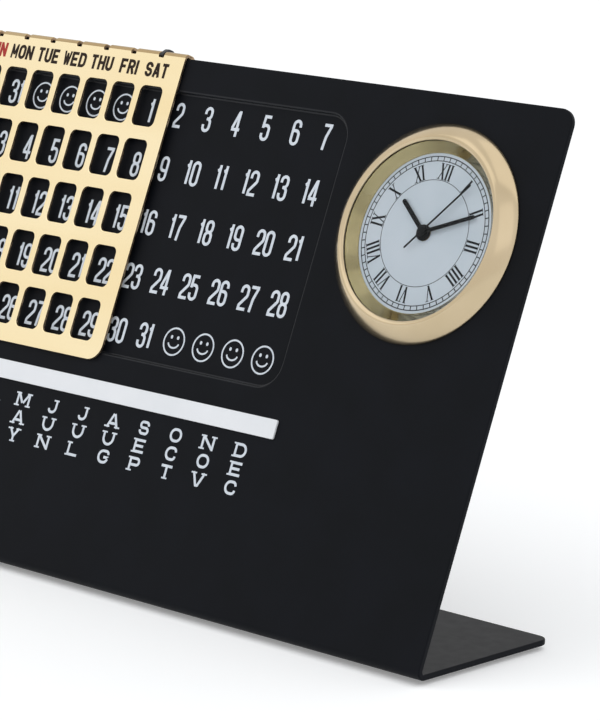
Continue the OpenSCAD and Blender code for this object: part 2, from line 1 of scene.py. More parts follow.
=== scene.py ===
"""Looks of a perpetual desk calendar: a leaning black sheet, a sliding gold day frame and an inset clock.

Sizes in the classes are millimetres in the face's own frame: X across the stand, Y up its slope and
Z out of the sheet. They become metres in the part's frame when a piece is made.
"""

import json
import logging
import math
from collections.abc import Callable, Mapping, Sequence
from dataclasses import dataclass, field
from enum import Enum

import bmesh
import bpy
import numpy as np
from mathutils import Matrix, Vector
from mathutils.geometry import delaunay_2d_cdt


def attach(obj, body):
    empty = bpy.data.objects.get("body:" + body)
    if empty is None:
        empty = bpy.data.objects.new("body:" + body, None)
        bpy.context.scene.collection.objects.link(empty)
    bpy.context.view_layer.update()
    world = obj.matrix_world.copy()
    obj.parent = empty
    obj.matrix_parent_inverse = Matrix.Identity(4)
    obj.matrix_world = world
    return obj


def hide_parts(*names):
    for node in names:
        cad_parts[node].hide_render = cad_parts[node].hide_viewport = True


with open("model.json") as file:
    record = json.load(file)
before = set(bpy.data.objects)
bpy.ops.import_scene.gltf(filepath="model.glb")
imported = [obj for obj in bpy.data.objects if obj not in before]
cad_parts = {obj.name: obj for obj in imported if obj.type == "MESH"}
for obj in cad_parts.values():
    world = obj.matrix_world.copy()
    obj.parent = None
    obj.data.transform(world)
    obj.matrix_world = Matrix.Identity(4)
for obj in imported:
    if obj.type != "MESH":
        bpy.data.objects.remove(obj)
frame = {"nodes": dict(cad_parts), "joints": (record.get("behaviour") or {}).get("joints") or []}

log = logging.getLogger("calendar")
MM = 0.001
# In millimetres: points nearer than this are one, the minute hand's joint lies this far out of the
# face, and a print reaches this far into its surface and out of it, or half as far on the dial.
WELD = 2e-5
MINUTE_TURN_OUT = 1.0
INK_UNDER, INK_OVER = 0.02, 0.03


# Shapes ---------------------------------------------------------------------------------------------


@dataclass
class Shape:
    """A closed surface in the making.

    Args:
        points: one row for each point.
        patches: arrays of faces with as many corners each, and which of the piece's finishes they have.
    """

    points: np.ndarray
    patches: list[tuple[np.ndarray, int]]

    def mapped(self, place: Callable[[np.ndarray], np.ndarray]) -> "Shape":
        """The same faces with every point moved by a function of the whole array."""
        return Shape(place(self.points), self.patches)

    def outward(self) -> "Shape":
        """The same shape with its faces turned outwards.

        The volume is a sixth of the sum of a . (b x c) over the triangles a, b, c.

        Returns:
            The shape, with every face reversed where its volume came out negative.
        """
        volume = 0.0
        for faces, _ in self.patches:
            for i in range(1, faces.shape[1] - 1):
                a, b, c = (self.points[faces[:, k]] for k in (0, i, i + 1))
                volume += float((a * np.cross(b, c)).sum())
        turned = [(faces[:, ::-1], use) for faces, use in self.patches]
        return self if volume > 0 else Shape(self.points, turned)

    def moved(self, x: float = 0.0, y: float = 0.0, z: float = 0.0) -> "Shape":
        """The same faces shifted by x, y and z."""
        return Shape(self.points + [x, y, z], self.patches)


def joined(shapes: Sequence[Shape]) -> Shape:
    """Several shapes as one.

    Args:
        shapes: the shapes, each with its own numbering of points.

    Returns:
        One shape, in which each one's faces are numbered after the points before it.
    """
    shapes = [shape.outward() for shape in shapes]
    starts = np.cumsum([0] + [len(s.points) for s in shapes[:-1]])
    patches = [(faces + start, use) for s, start in zip(shapes, starts) for faces, use in s.patches]
    return Shape(np.concatenate([s.points for s in shapes]), patches)


def arc(x: float, y: float, rx: float, ry: float, first: float, last: float, step: float = 9) -> np.ndarray:
    """Points of an ellipse's arc.

    Args:
        x: centre across.
        y: centre up.
        rx: half the width.
        ry: half the height.
        first: angle of the first point in degrees, counted from +X towards +Y.
        last: angle of the last point.
        step: largest angle between two points.

    Returns:
        Rows of x + rx cos a, y + ry sin a.
    """
    count = max(2, math.ceil(abs(last - first) / step) + 1)
    turn = np.radians(np.linspace(first, last, count))
    return np.stack([x + rx * np.cos(turn), y + ry * np.sin(turn)], axis=1)


def circle(radius: float, x: float = 0.0, y: float = 0.0, step: float = 3) -> np.ndarray:
    """A closed round loop, without its first point again."""
    return arc(x, y, radius, radius, 0, 360, step)[:-1]


def corner(before: np.ndarray, here: np.ndarray, after: np.ndarray, step: float = 10) -> np.ndarray:
    """Points of a rounded corner.

    The arc's centre lies on the corner's bisector, at radius / sin(half the corner's angle) from it.
    The radius shrinks where the neighbouring corners leave too little room for it.

    Args:
        before: x, y and radius of the corner before this one.
        here: of this corner. A radius of 0 keeps it sharp.
        after: of the corner after it.
        step: largest angle between two points of the arc, in degrees.

    Returns:
        Rows of X and Y.
    """
    a, b = before[:2] - here[:2], after[:2] - here[:2]
    long_a, long_b = np.linalg.norm(a), np.linalg.norm(b)
    a, b = a / long_a, b / long_b
    half = math.acos(np.clip(a @ b, -1, 1)) / 2
    if here[2] <= 0 or half > math.radians(89.5):
        return here[None, :2]
    room = min(long_a * here[2] / (here[2] + before[2]), long_b * here[2] / (here[2] + after[2]))
    radius = min(here[2], room * math.tan(half) * 0.999)
    middle = (a + b) / np.linalg.norm(a + b)
    centre = here[:2] + middle * radius / math.sin(half)
    sweep = math.pi - 2 * half
    side = np.sign(a[0] * b[1] - a[1] * b[0])
    count = max(2, math.ceil(math.degrees(sweep) / step) + 1)
    turn = math.atan2(-middle[1], -middle[0]) - side * np.linspace(-sweep / 2, sweep / 2, count)
    return centre + radius * np.stack([np.cos(turn), np.sin(turn)], axis=1)


def rounded(corners: Sequence[tuple[float, float, float]], step: float = 10) -> np.ndarray:
    """A closed loop through corners, given as rows of x, y and the radius that rounds each."""
    rows = np.array(corners, float)
    trios = zip(np.roll(rows, 1, 0), rows, np.roll(rows, -1, 0))
    return np.concatenate([corner(*trio, step) for trio in trios])


def box_loop(width: float, height: float, radius: float, x: float = 0.0, y: float = 0.0) -> np.ndarray:
    """A rectangle's loop with round corners, counterclockwise round its centre."""
    a, b = width / 2, height / 2
    signs = ((1, -1), (1, 1), (-1, 1), (-1, -1))
    return rounded([(x + i * a, y + j * b, radius) for i, j in signs])


def split_at(loop: np.ndarray, heights: Sequence[float]) -> np.ndarray:
    """The loop with a point added wherever one of its edges crosses a height.

    Args:
        loop: points of a closed loop.
        heights: values of Y.

    Returns:
        The loop's points with the crossings between them.
    """
    after = np.roll(loop, -1, 0)
    share, place = [], []
    for height in heights:
        rise = after[:, 1] - loop[:, 1]
        part = np.divide(height - loop[:, 1], rise, out=np.full(len(loop), -1.0), where=abs(rise) > 1e-9)
        hit = np.flatnonzero((part > 1e-6) & (part < 1 - 1e-6))
        share.append(part[hit])
        place.append(hit)
    share, place = np.concatenate(share), np.concatenate(place)
    extra = loop[place] + share[:, None] * (after[place] - loop[place])
    order = np.argsort(np.concatenate([np.arange(len(loop)), place + share]), kind="stable")
    return np.concatenate([loop, extra])[order]


def inset(loop: np.ndarray, distance: float) -> np.ndarray:
    """A closed loop moved to its left by a distance.

    Each point moves along the mean of its two edges' left normals, further where they turn, so that
    both edges keep the distance.

    Args:
        loop: the loop's points.
        distance: how far to the left, or to the right where it is negative.

    Returns:
        As many points.
    """
    edge = np.roll(loop, -1, 0) - loop
    normal = np.stack([-edge[:, 1], edge[:, 0]], axis=1) / np.linalg.norm(edge, axis=1)[:, None]
    mean = normal + np.roll(normal, 1, 0)
    mean /= np.linalg.norm(mean, axis=1)[:, None]
    return loop + distance * mean / (mean * normal).sum(axis=1)[:, None]


def area(loop: np.ndarray) -> float:
    """A loop's area, negative where it runs clockwise."""
    after = np.roll(loop, -1, 0)
    return float((loop[:, 0] * after[:, 1] - loop[:, 1] * after[:, 0]).sum() / 2)


def filled(loops: Sequence[np.ndarray], creases: Sequence[float] = ()) -> np.ndarray:
    """Triangles that fill the first loop, without the loops inside it.

    Args:
        loops: the outline and the loops that stay open.
        creases: heights at which the triangles have an edge right across.

    Returns:
        Rows of three indices into all the loops' points in order, counterclockwise.
    """
    flat = np.concatenate(loops)
    low, high = flat[:, 0].min(), flat[:, 0].max()
    ends = np.array([(x, y) for y in creases for x in (low, high)]).reshape(-1, 2)
    starts = np.cumsum([0] + [len(loop) for loop in loops])
    rings = [list(range(a, b)) for a, b in zip(starts[:-1], starts[1:])]
    rings = [ring if area(loop) > 0 else ring[::-1] for ring, loop in zip(rings, loops)]
    edges = [(len(flat) + 2 * i, len(flat) + 2 * i + 1) for i in range(len(creases))]
    points = [Vector(p) for p in np.concatenate([flat, ends])]
    _, _, faces, source, _, covers = delaunay_2d_cdt(points, edges, rings, 1, 1e-4)
    number = np.array([min(s) if s else -1 for s in source])
    kept = [face for face, within in zip(faces, covers) if list(within) == [0]]
    triangles = number[np.array(kept)]
    if triangles.min() < 0 or triangles.max() >= len(flat):
        raise ValueError("a crease crosses a loop where the loop has no point")
    return triangles


class Skin:
    """Builds a sheet's surface from rings of points: X, Y and depth below the sheet's outer side.

    Loops have the material on their left, so an outline runs counterclockwise and a hole clockwise.
    """

    def __init__(self) -> None:
        """Starts with no rings and no faces."""
        self.rows: list[np.ndarray] = []
        self.patches: list[tuple[np.ndarray, int]] = []
        self.count = 0

    def ring(self, loop: np.ndarray, depth: float) -> np.ndarray:
        """Adds a loop's points at a depth and gives their numbers."""
        self.rows.append(np.column_stack([loop, np.full(len(loop), depth)]))
        self.count += len(loop)
        return np.arange(self.count - len(loop), self.count)

    def band(self, near: np.ndarray, far: np.ndarray, use: int = 0) -> None:
        """Joins two rings of as many points with four-cornered faces."""
        self.patches.append((np.stack([near, far, np.roll(far, -1), np.roll(near, -1)], axis=1), use))

    def edge(self, loop: np.ndarray, thickness: float, round_r: float, wall: int = 0) -> tuple:
        """Adds the sheet's edge along a loop, with its two corners rounded.

        Going through the sheet by an angle a, the loop is inset by r (1 - sin a) at a depth of
        r (1 - cos a), and the same again from the other side.

        Args:
            loop: the loop, with the material on its left.
            thickness: of the sheet.
            round_r: radius of the two corners.
            wall: which finish the straight part of the edge has.

        Returns:
            The first and the last ring.
        """
        turn = np.radians(np.linspace(0, 90, 5))
        ins, deep = round_r * (1 - np.sin(turn)), round_r * (1 - np.cos(turn))
        rings = [self.ring(inset(loop, i), d) for i, d in zip(ins, deep)]
        rings += [self.ring(inset(loop, i), thickness - d) for i, d in zip(ins[::-1], deep[::-1])]
        middle = len(turn) - 1
        for i, (near, far) in enumerate(zip(rings[:-1], rings[1:])):
            self.band(near, far, wall if i == middle else 0)
        return rings[0], rings[-1]

    def fill(self, rings: Sequence[np.ndarray], creases: Sequence[float] = (), back: bool = False) -> None:
        """Fills the first ring, without the others, on the outer side or on the back."""
        points = np.concatenate(self.rows)
        triangles = filled([points[ring][:, :2] for ring in rings], creases)
        numbered = np.concatenate(rings)[triangles]
        self.patches.append((numbered[:, ::-1] if back else numbered, 0))

    def shape(self) -> Shape:
        """The surface, with its points as X, Y and depth."""
        return Shape(np.concatenate(self.rows), self.patches)


def plate(outline: np.ndarray, holes: Sequence[np.ndarray], thickness: float, round_r: float,
          creases: Sequence[float] = (), wall: int = 0) -> Shape:
    """A flat sheet with holes and rounded edges, as X, Y and depth.

    Args:
        outline: the sheet's outline, counterclockwise.
        holes: loops of the holes, counterclockwise too.
        thickness: of the sheet.
        round_r: radius of its edges.
        creases: heights at which it will bend.
        wall: which finish the straight part of the edges has.

    Returns:
        The sheet as a closed shape.
    """
    skin = Skin()
    loops = [split_at(outline, creases)] + [split_at(hole, creases)[::-1] for hole in holes] \
        if creases else [outline] + [hole[::-1] for hole in holes]
    ends = [skin.edge(loop, thickness, round_r, wall) for loop in loops]
    skin.fill([near for near, _ in ends], creases)
    skin.fill([far for _, far in ends], creases, back=True)
    return skin.shape()


def lathe(profile: np.ndarray, steps: int = 144) -> Shape:
    """A profile of radius and height turned round the Z axis: r cos a, r sin a, z for each angle a.

    Args:
        profile: a closed loop of radius and height. It may touch the axis.
        steps: how many angles.

    Returns:
        A closed shape with four-cornered faces.
    """
    turn = np.linspace(0, 2 * math.pi, steps, endpoint=False)
    radius, height = profile[:, :1], profile[:, 1:]
    points = np.stack([radius * np.cos(turn), radius * np.sin(turn), height + 0 * turn], axis=-1)
    number = np.arange(points.shape[0] * steps).reshape(-1, steps)
    after, up = np.roll(number, -1, 1), np.roll(number, -1, 0)
    faces = np.stack([number, after, np.roll(after, -1, 0), up], axis=-1)
    return Shape(points.reshape(-1, 3), [(faces.reshape(-1, 4), 0)])


@dataclass(frozen=True)
class BentPath:
    """Side view of a bent sheet's outer side: straight runs and bends along its length.

    Args:
        start: the first point, as two coordinates of the side view.
        heading: direction of the first run in degrees, counterclockwise from the first coordinate.
        runs: length of each run and by how many degrees it turns, 0 where it is straight.
        inside: 1 where the sheet's thickness lies on the left of the path, and -1 on its right.
    """

    start: tuple[float, float]
    heading: float
    runs: tuple[tuple[float, float], ...]
    inside: int

    def creases(self, step: float = 10) -> list[float]:
        """Lengths at which a sheet has to be divided so that it can follow the bends."""
        marks, at = [], 0.0
        for length, turn in self.runs:
            if turn:
                marks += list(np.linspace(at, at + length, math.ceil(abs(turn) / step) + 1))
            at += length
        return marks

    def place(self, along: np.ndarray, depth: np.ndarray) -> tuple[np.ndarray, np.ndarray]:
        """Where points of the flat sheet come to lie.

        On a straight run, start + s (cos h, sin h); on a bend of radius length / turn, the same point
        turned round the bend's centre. Depth is counted along the inward normal.

        Args:
            along: length of each point along the sheet.
            depth: its depth below the outer side.

        Returns:
            The two coordinates of the side view.
        """
        a, b = np.zeros(len(along)), np.zeros(len(along))
        here, heading, at = np.array(self.start), math.radians(self.heading), 0.0
        for i, (length, turn) in enumerate(self.runs):
            last = i == len(self.runs) - 1
            mine = (along >= at - 1e-9) if last else (along >= at - 1e-9) & (along < at + length - 1e-9)
            run, bend = along[mine] - at, math.radians(turn)
            angle = heading + run * bend / length
            chord = (np.sin(angle) - math.sin(heading), math.cos(heading) - np.cos(angle))
            if turn:
                a[mine] = here[0] + chord[0] * length / bend
                b[mine] = here[1] + chord[1] * length / bend
                end = heading + bend
                here = here + np.array([math.sin(end) - math.sin(heading),
                                        math.cos(heading) - math.cos(end)]) * length / bend
            else:
                a[mine], b[mine] = here[0] + run * math.cos(heading), here[1] + run * math.sin(heading)
                here = here + length * np.array([math.cos(heading), math.sin(heading)])
            a[mine] -= self.inside * depth[mine] * np.sin(angle)
            b[mine] += self.inside * depth[mine] * np.cos(angle)
            heading, at = heading + bend, at + length
        return a, b


@dataclass(frozen=True)
class FaceFrame:
    """The face's own frame, in which the pieces on it are laid out.

    Args:
        origin: the point at the middle of the front bend, in the part's frame in millimetres.
        up: direction up the slope.
        out: direction out of the sheet.
    """

    origin: np.ndarray
    up: np.ndarray
    out: np.ndarray

    @classmethod
    def of_joint(cls, joint: Mapping, height: float, out: float) -> "FaceFrame":
        """Works the frame out from a joint that stands square to the face.

        Args:
            joint: the joint, whose axis points into the face.
            height: of its point up the slope.
            out: of its point above the face.

        Returns:
            The frame.
        """
        outward = -np.array(joint["axis"], float)
        upward = np.cross(outward, [1.0, 0.0, 0.0])
        origin = np.array(joint["pos_m"]) / MM - height * upward - out * outward
        return cls(origin * [0, 1, 1], upward, outward)

    def place(self, points: np.ndarray) -> np.ndarray:
        """Points of the face's frame in the part's frame."""
        return self.origin + points[:, :1] * [1, 0, 0] + points[:, 1:2] * self.up + points[:, 2:] * self.out


def to_object(name: str, shape: Shape, smooth: bool = True) -> bpy.types.Object:
    """Makes a mesh object of a shape in millimetres.

    Points that coincide become one, and each point takes the mean of its faces'
    normals weighted by their areas, so that flat sides stay flat next to rounded edges.

    Args:
        name: the object's name.
        shape: the shape, placed in the part's frame.
        smooth: whether its faces are shaded as one rounded surface.

    Returns:
        The object, linked to the scene, at the origin.
    """
    mesh, shape = bpy.data.meshes.new(name), shape.outward()
    faces = [face for patch, _ in shape.patches for face in patch.tolist()]
    mesh.from_pydata((shape.points * MM).tolist(), [], faces)
    uses = np.concatenate([np.full(len(patch), use) for patch, use in shape.patches])
    mesh.polygons.foreach_set("material_index", uses)
    body = bmesh.new()
    body.from_mesh(mesh)
    bmesh.ops.remove_doubles(body, verts=body.verts, dist=WELD * MM)
    open_edges = sum(not edge.is_manifold for edge in body.edges)
    if open_edges:
        log.warning("%s has %d open edges", name, open_edges)
    body.to_mesh(mesh)
    body.free()
    piece = bpy.data.objects.new(name, mesh)
    bpy.context.scene.collection.objects.link(piece)
    mesh.polygons.foreach_set("use_smooth", np.full(len(mesh.polygons), smooth))
    if not smooth:
        return piece
    normals = np.zeros((len(mesh.polygons), 3))
    mesh.polygons.foreach_get("normal", normals.ravel())
    sizes, areas = np.zeros(len(mesh.polygons), int), np.zeros(len(mesh.polygons))
    mesh.polygons.foreach_get("loop_total", sizes)
    mesh.polygons.foreach_get("area", areas)
    corners = np.zeros(len(mesh.loops), int)
    mesh.loops.foreach_get("vertex_index", corners)
    mean = np.zeros((len(mesh.vertices), 3))
    np.add.at(mean, corners, np.repeat(normals * areas[:, None], sizes, axis=0))
    mean /= np.maximum(np.linalg.norm(mean, axis=1), 1e-30)[:, None]
    mesh.normals_split_custom_set_from_vertices(mean.tolist())
    return piece


# Lettering ------------------------------------------------------------------------------------------


def ribbon(line: np.ndarray, width: float) -> np.ndarray:
    """The four-cornered pieces of a stroke of even width along a line of points.

    Each piece's corners are its ends plus and minus half the width times the mean normal of the two
    segments that meet there, lengthened by one over the cosine of half the turn. A sharp turn, past
    100 degrees, isn't mitred.

    Args:
        line: rows of X and Y. A closed line repeats its first point at its end.
        width: of the stroke.

    Returns:
        An array of pieces, each with four corners, counterclockwise.
    """
    run = np.diff(line, axis=0)
    normal = np.stack([-run[:, 1], run[:, 0]], axis=1) / np.linalg.norm(run, axis=1)[:, None]
    before, after = np.roll(normal, 1, 0), np.roll(normal, -1, 0)
    if np.linalg.norm(line[0] - line[-1]) > 1e-6:
        before[0], after[-1] = normal[0], normal[-1]
    ends = []
    for other in (before, after):
        mean = other + normal
        reach = (mean * mean).sum(axis=1, keepdims=True)
        ends.append(np.where(reach > 0.8, 2 * mean / np.maximum(reach, 0.8), normal) * width / 2)
    first, last = line[:-1], line[1:]
    return np.stack([first - ends[0], last - ends[1], last + ends[1], first + ends[0]], axis=1)


def inked(pieces: Sequence[np.ndarray], low: float, high: float) -> Shape:
    """One thin raised layer that covers all the given four-cornered pieces.

    Args:
        pieces: arrays of pieces with four corners each.
        low: height of its underside.
        high: height of its top.

    Returns:
        A closed shape, without the lines where the pieces overlap.
    """
    quads = np.concatenate(pieces)
    across, up = quads[:, 2] - quads[:, 0], quads[:, 3] - quads[:, 1]
    turned = across[:, 0] * up[:, 1] - across[:, 1] * up[:, 0] < 0
    quads[turned] = quads[turned][:, ::-1]
    corners = np.arange(quads.shape[0] * 4).reshape(-1, 4).tolist()
    points = [Vector(p) for p in quads.reshape(-1, 2)]
    flat, _, faces, _, _, covers = delaunay_2d_cdt(points, [], corners, 1, 1e-4)
    top = np.array([list(v) for v in flat])
    faces = np.array([face for face, within in zip(faces, covers) if within])
    sides = np.concatenate([faces[:, [0, 1]], faces[:, [1, 2]], faces[:, [2, 0]]])
    count = len(top)
    rim = sides[~np.isin(sides @ [count, 1], sides @ [1, count])]
    walls = np.stack([rim[:, 0], rim[:, 0] + count, rim[:, 1] + count, rim[:, 1]], axis=1)
    points = np.concatenate([np.column_stack([top, np.full(count, h)]) for h in (high, low)])
    return Shape(points, [(faces, 0), (faces[:, ::-1] + count, 0), (walls, 0)])


# Strokes of each character as lines in a box of 1 by 1. A point's third value rounds its corner, as a
# share of half the character's width. A line that ends in its first point is closed.
STROKES: dict[str, tuple] = {
    "0": (((0, 0, 1), (1, 0, 1), (1, 1, 1), (0, 1, 1), (0, 0, 1)),),
    "1": (((0.66, 0, 0), (0.66, 1.06, 0)), ((0.7, 0.95, 0), (0.42, 0.84, 0.5), (0.02, 0.8, 0))),
    "2": (((0, 0.7, 0), (0, 1, 1), (1, 1, 1), (1, 0.58, 0.9), (0.02, 0.16, 0.5), (0.02, 0, 0),
           (1.08, 0, 0)),),
    "3": (((0, 0.73, 0), (0, 1, 1), (0.98, 1, 1), (0.98, 0.53, 1), (0.35, 0.53, 0)),
          ((0.35, 0.53, 0), (1, 0.53, 1), (1, 0, 1), (0, 0, 1), (0, 0.27, 0))),
    "4": (((0.74, -0.07, 0), (0.74, 1.07, 0)), ((0.66, 1.02, 0), (-0.02, 0.3, 0)),
          ((-0.14, 0.25, 0), (1.16, 0.25, 0))),
    "5": (((1, 1, 0), (0.08, 1, 0), (0.02, 0.5, 0)),
          ((0.02, 0.53, 0), (0.2, 0.62, 0.7), (1, 0.62, 1), (1, 0, 1), (0, 0, 1), (0, 0.27, 0))),
    "6": (((1, 0.74, 0), (1, 1, 1), (0, 1, 1), (0, 0, 1), (1, 0, 1), (1, 0.58, 1), (0.05, 0.58, 0)),),
    "7": (((-0.1, 1, 0), (1.12, 1, 0)), ((0.96, 0.98, 0), (0.5, 0.5, 1), (0.36, -0.07, 0))),
    "8": (((0.04, 0.53, 1), (0.96, 0.53, 1), (0.96, 1, 1), (0.04, 1, 1), (0.04, 0.53, 1)),
          ((0, 0, 1), (1, 0, 1), (1, 0.53, 1), (0, 0.53, 1), (0, 0, 1))),
    "9": (((0, 0.26, 0), (0, 0, 1), (1, 0, 1), (1, 1, 1), (0, 1, 1), (0, 0.42, 1), (0.95, 0.42, 0)),),
    "A": (((0, -0.12, 0), (0.46, 1.1, 0)), ((1, -0.12, 0), (0.54, 1.1, 0)),
          ((0.18, 0.26, 0), (0.82, 0.26, 0))),
    "B": (((0, 0, 0), (0, 1, 0), (0.94, 1, 1), (0.94, 0.52, 1), (0, 0.52, 0)),
          ((0, 0.52, 0), (1, 0.52, 1), (1, 0, 1), (0, 0, 0), (0, 0.52, 0))),
    "C": (((1, 0.68, 0), (1, 1, 1), (0, 1, 1), (0, 0, 1), (1, 0, 1), (1, 0.32, 0)),),
    "D": (((0, 0, 0), (1, 0, 1), (1, 1, 1), (0, 1, 0), (0, 0, 0)),),
    "E": (((1.1, 1, 0), (0, 1, 0), (0, 0, 0), (1.1, 0, 0)), ((0, 0.5, 0), (0.95, 0.5, 0))),
    "F": (((1.1, 1, 0), (0, 1, 0), (0, -0.12, 0)), ((0, 0.48, 0), (0.9, 0.48, 0))),
    "G": (((1, 0.72, 0), (1, 1, 1), (0, 1, 1), (0, 0, 1), (1, 0, 1), (1, 0.46, 0), (0.55, 0.46, 0)),),
    "H": (((0, -0.12, 0), (0, 1.12, 0)), ((1, -0.12, 0), (1, 1.12, 0)), ((0, 0.5, 0), (1, 0.5, 0))),
    "I": (((0.5, -0.12, 0), (0.5, 1.12, 0)),),
    "J": (((1, 1.12, 0), (1, 0, 1), (0, 0, 1), (0, 0.3, 0)),),
    "L": (((0, 1.12, 0), (0, 0, 0), (1.1, 0, 0)),),
    "M": (((0, -0.12, 0), (0, 1.12, 0)), ((1, -0.12, 0), (1, 1.12, 0)), ((0.08, 1, 0), (0.46, 0.2, 0)),
          ((0.92, 1, 0), (0.54, 0.2, 0))),
    "N": (((0, -0.12, 0), (0, 1.12, 0)), ((1, -0.12, 0), (1, 1.12, 0)), ((0.06, 0.98, 0), (0.94, 0.02, 0))),
    "O": (((0, 0, 1), (1, 0, 1), (1, 1, 1), (0, 1, 1), (0, 0, 1)),),
    "P": (((0, -0.12, 0), (0, 1, 0), (1, 1, 1), (1, 0.44, 1), (0, 0.44, 0)),),
    "R": (((0, -0.12, 0), (0, 1, 0), (1, 1, 1), (1, 0.48, 1), (0, 0.48, 0)),
          ((0.55, 0.48, 0), (1.02, -0.1, 0))),
    "S": (((1, 0.7, 0), (1, 1, 1), (0, 1, 1), (0, 0.5, 1), (1, 0.5, 1), (1, 0, 1), (0, 0, 1), (0, 0.3, 0)),),
    "T": (((-0.12, 1, 0), (1.12, 1, 0)), ((0.5, -0.12, 0), (0.5, 1, 0))),
    "U": (((0, 1.12, 0), (0, 0, 1), (1, 0, 1), (1, 1.12, 0)),),
    "V": (((-0.04, 1.12, 0), (0.41, 0, 0), (0.59, 0, 0), (1.04, 1.12, 0)),),
    "W": (((-0.1, 1.12, 0), (0.22, -0.1, 0)), ((0.24, -0.1, 0), (0.5, 0.95, 0)),
          ((0.5, 0.95, 0), (0.76, -0.1, 0)), ((0.78, -0.1, 0), (1.1, 1.12, 0))),
    "Y": (((-0.02, 1.12, 0), (0.47, 0.42, 0)), ((1.02, 1.12, 0), (0.53, 0.42, 0)),
          ((0.5, 0.5, 0), (0.5, -0.12, 0))),
}
# Letters with four strokes side by side, and their widest stroke as a share of the letter's width.
CROWDED, CROWDED_STROKE = "MW", 0.22
# Where a slab letter has a short bar across the end of a stroke, in the same box.
SLABS: dict[str, tuple] = {
    "A": ((0, 0), (1, 0)), "B": ((0, 0), (0, 1)), "D": ((0, 0), (0, 1)), "E": ((0, 0), (0, 1)),
    "F": ((0, 0), (0, 1)), "J": ((0.9, 1),), "L": ((0, 0), (0, 1)), "M": ((0, 0), (1, 0), (0, 1), (1, 1)),
    "N": ((0, 0), (0, 1), (1, 1)), "P": ((0, 0), (0, 1)), "R": ((0, 0), (0, 1), (1, 0)), "T": ((0.5, 0),),
    "U": ((0, 1), (1, 1)), "V": ((0, 1), (1, 1)), "Y": ((0.5, 0), (0, 1), (1, 1)),
}
# Widths in millimetres of the slab letters that differ from the usual one.
SLAB_WIDTHS = {"M": 3.3, "O": 2.8, "N": 2.9, "A": 2.9, "J": 2.1, "S": 2.3, "C": 2.6, "G": 2.7, "V": 2.8,
               "D": 2.7, "U": 2.8}


@dataclass(frozen=True)
class Lettering:
    """One size of stroke letters, in millimetres.

    Args:
        height: of a character.
        stroke: width of its strokes.
        space: gap between two characters.
        slab: half the length of the bars across stroke ends, or 0 for plain letters.
    """

    height: float
    stroke: float
    space: float = 0.2
    slab: float = 0.0

    def character(self, sign: str, width: float) -> list[np.ndarray]:
        """A character's strokes, with its box's middle at the origin.

        A unit point (x, y) goes to ((x - 1/2) (width - stroke), (y - 1/2) (height - stroke)).

        Args:
            sign: a digit or a capital.
            width: of the character.

        Returns:
            The four-cornered pieces of each stroke.
        """
        size = np.array([width, self.height]) - self.stroke
        stroke = min(self.stroke, CROWDED_STROKE * width) if sign in CROWDED else self.stroke
        made = []
        for line in STROKES[sign]:
            points = np.array(line, float)
            points[:, :2] = (points[:, :2] - 0.5) * size
            points[:, 2] *= size[0] / 2
            made.append(ribbon(bent(points), stroke))
        for x, y in SLABS.get(sign, ()) if self.slab else ():
            here = (np.array([x, y]) - 0.5) * size + [0, (y - 0.5) * self.stroke * 0.4]
            made.append(ribbon(here + np.array([[-self.slab, 0], [self.slab, 0]]), self.stroke * 0.6))
        return made

    def word(self, text: str, width: float, narrow: float = 0.68) -> list[np.ndarray]:
        """Characters in a row, with the row's middle at the origin.

        Args:
            text: the characters.
            width: of each one.
            narrow: width of a 1 or an I, as a share of the others'.

        Returns:
            The four-cornered pieces of all the strokes.
        """
        widths = np.array([self.stroke if c == "I" else width * narrow if c == "1" else width for c in text])
        ends = np.cumsum(widths + self.space) - self.space
        middles = ends - widths / 2 - ends[-1] / 2
        return [piece + [x, 0] for c, w, x in zip(text, widths, middles) for piece in self.character(c, w)]


def bent(points: np.ndarray, least: float = 0.04) -> np.ndarray:
    """A line through points, each corner rounded by its own radius.

    Args:
        points: rows of x, y and radius. The line is closed where its last row repeats its first.
        least: points nearer than this to the one before them are left out, because a stroke's pieces
            would cross themselves there.

    Returns:
        Rows of X and Y.
    """
    closed = np.allclose(points[0, :2], points[-1, :2])
    if closed:
        loop = rounded(points[:-1], 15)
        loop = loop[np.linalg.norm(loop - np.roll(loop, 1, 0), axis=1) > least]
        return np.concatenate([loop, loop[:1]])
    corners = [corner(*trio, 15) for trio in zip(points[:-2], points[1:-1], points[2:])]
    line = np.concatenate([points[:1, :2], *corners, points[-1:, :2]])
    return line[np.append(True, np.linalg.norm(np.diff(line, axis=0), axis=1) > least)]


# Finishes -------------------------------------------------------------------------------------------


def linear(colour: str) -> tuple[float, float, float, float]:
    """A colour written as sRGB hex, as the linear values that a shader takes."""
    parts = np.array([int(colour[i:i + 2], 16) for i in (1, 3, 5)]) / 255
    parts = np.where(parts <= 0.04045, parts / 12.92, ((parts + 0.055) / 1.055) ** 2.4)
    return (*map(float, parts), 1.0)


def add(tree: bpy.types.NodeTree, kind: str, settings: Mapping | None = None,
        links: Mapping | None = None) -> bpy.types.Node:
    """Adds a node.

    Args:
        tree: the material's or the world's nodes.
        kind: the node's type without its prefix.
        settings: values of its inputs, by name or number, or of its own properties.
        links: outputs that feed its inputs, by the input's name or number.

    Returns:
        The node.
    """
    node = tree.nodes.new("ShaderNode" + kind)
    for key, value in (settings or {}).items():
        if isinstance(key, int) or key in node.inputs:
            node.inputs[key].default_value = value
        else:
            setattr(node, key, value)
    for key, output in (links or {}).items():
        tree.links.new(output, node.inputs[key])
    return node


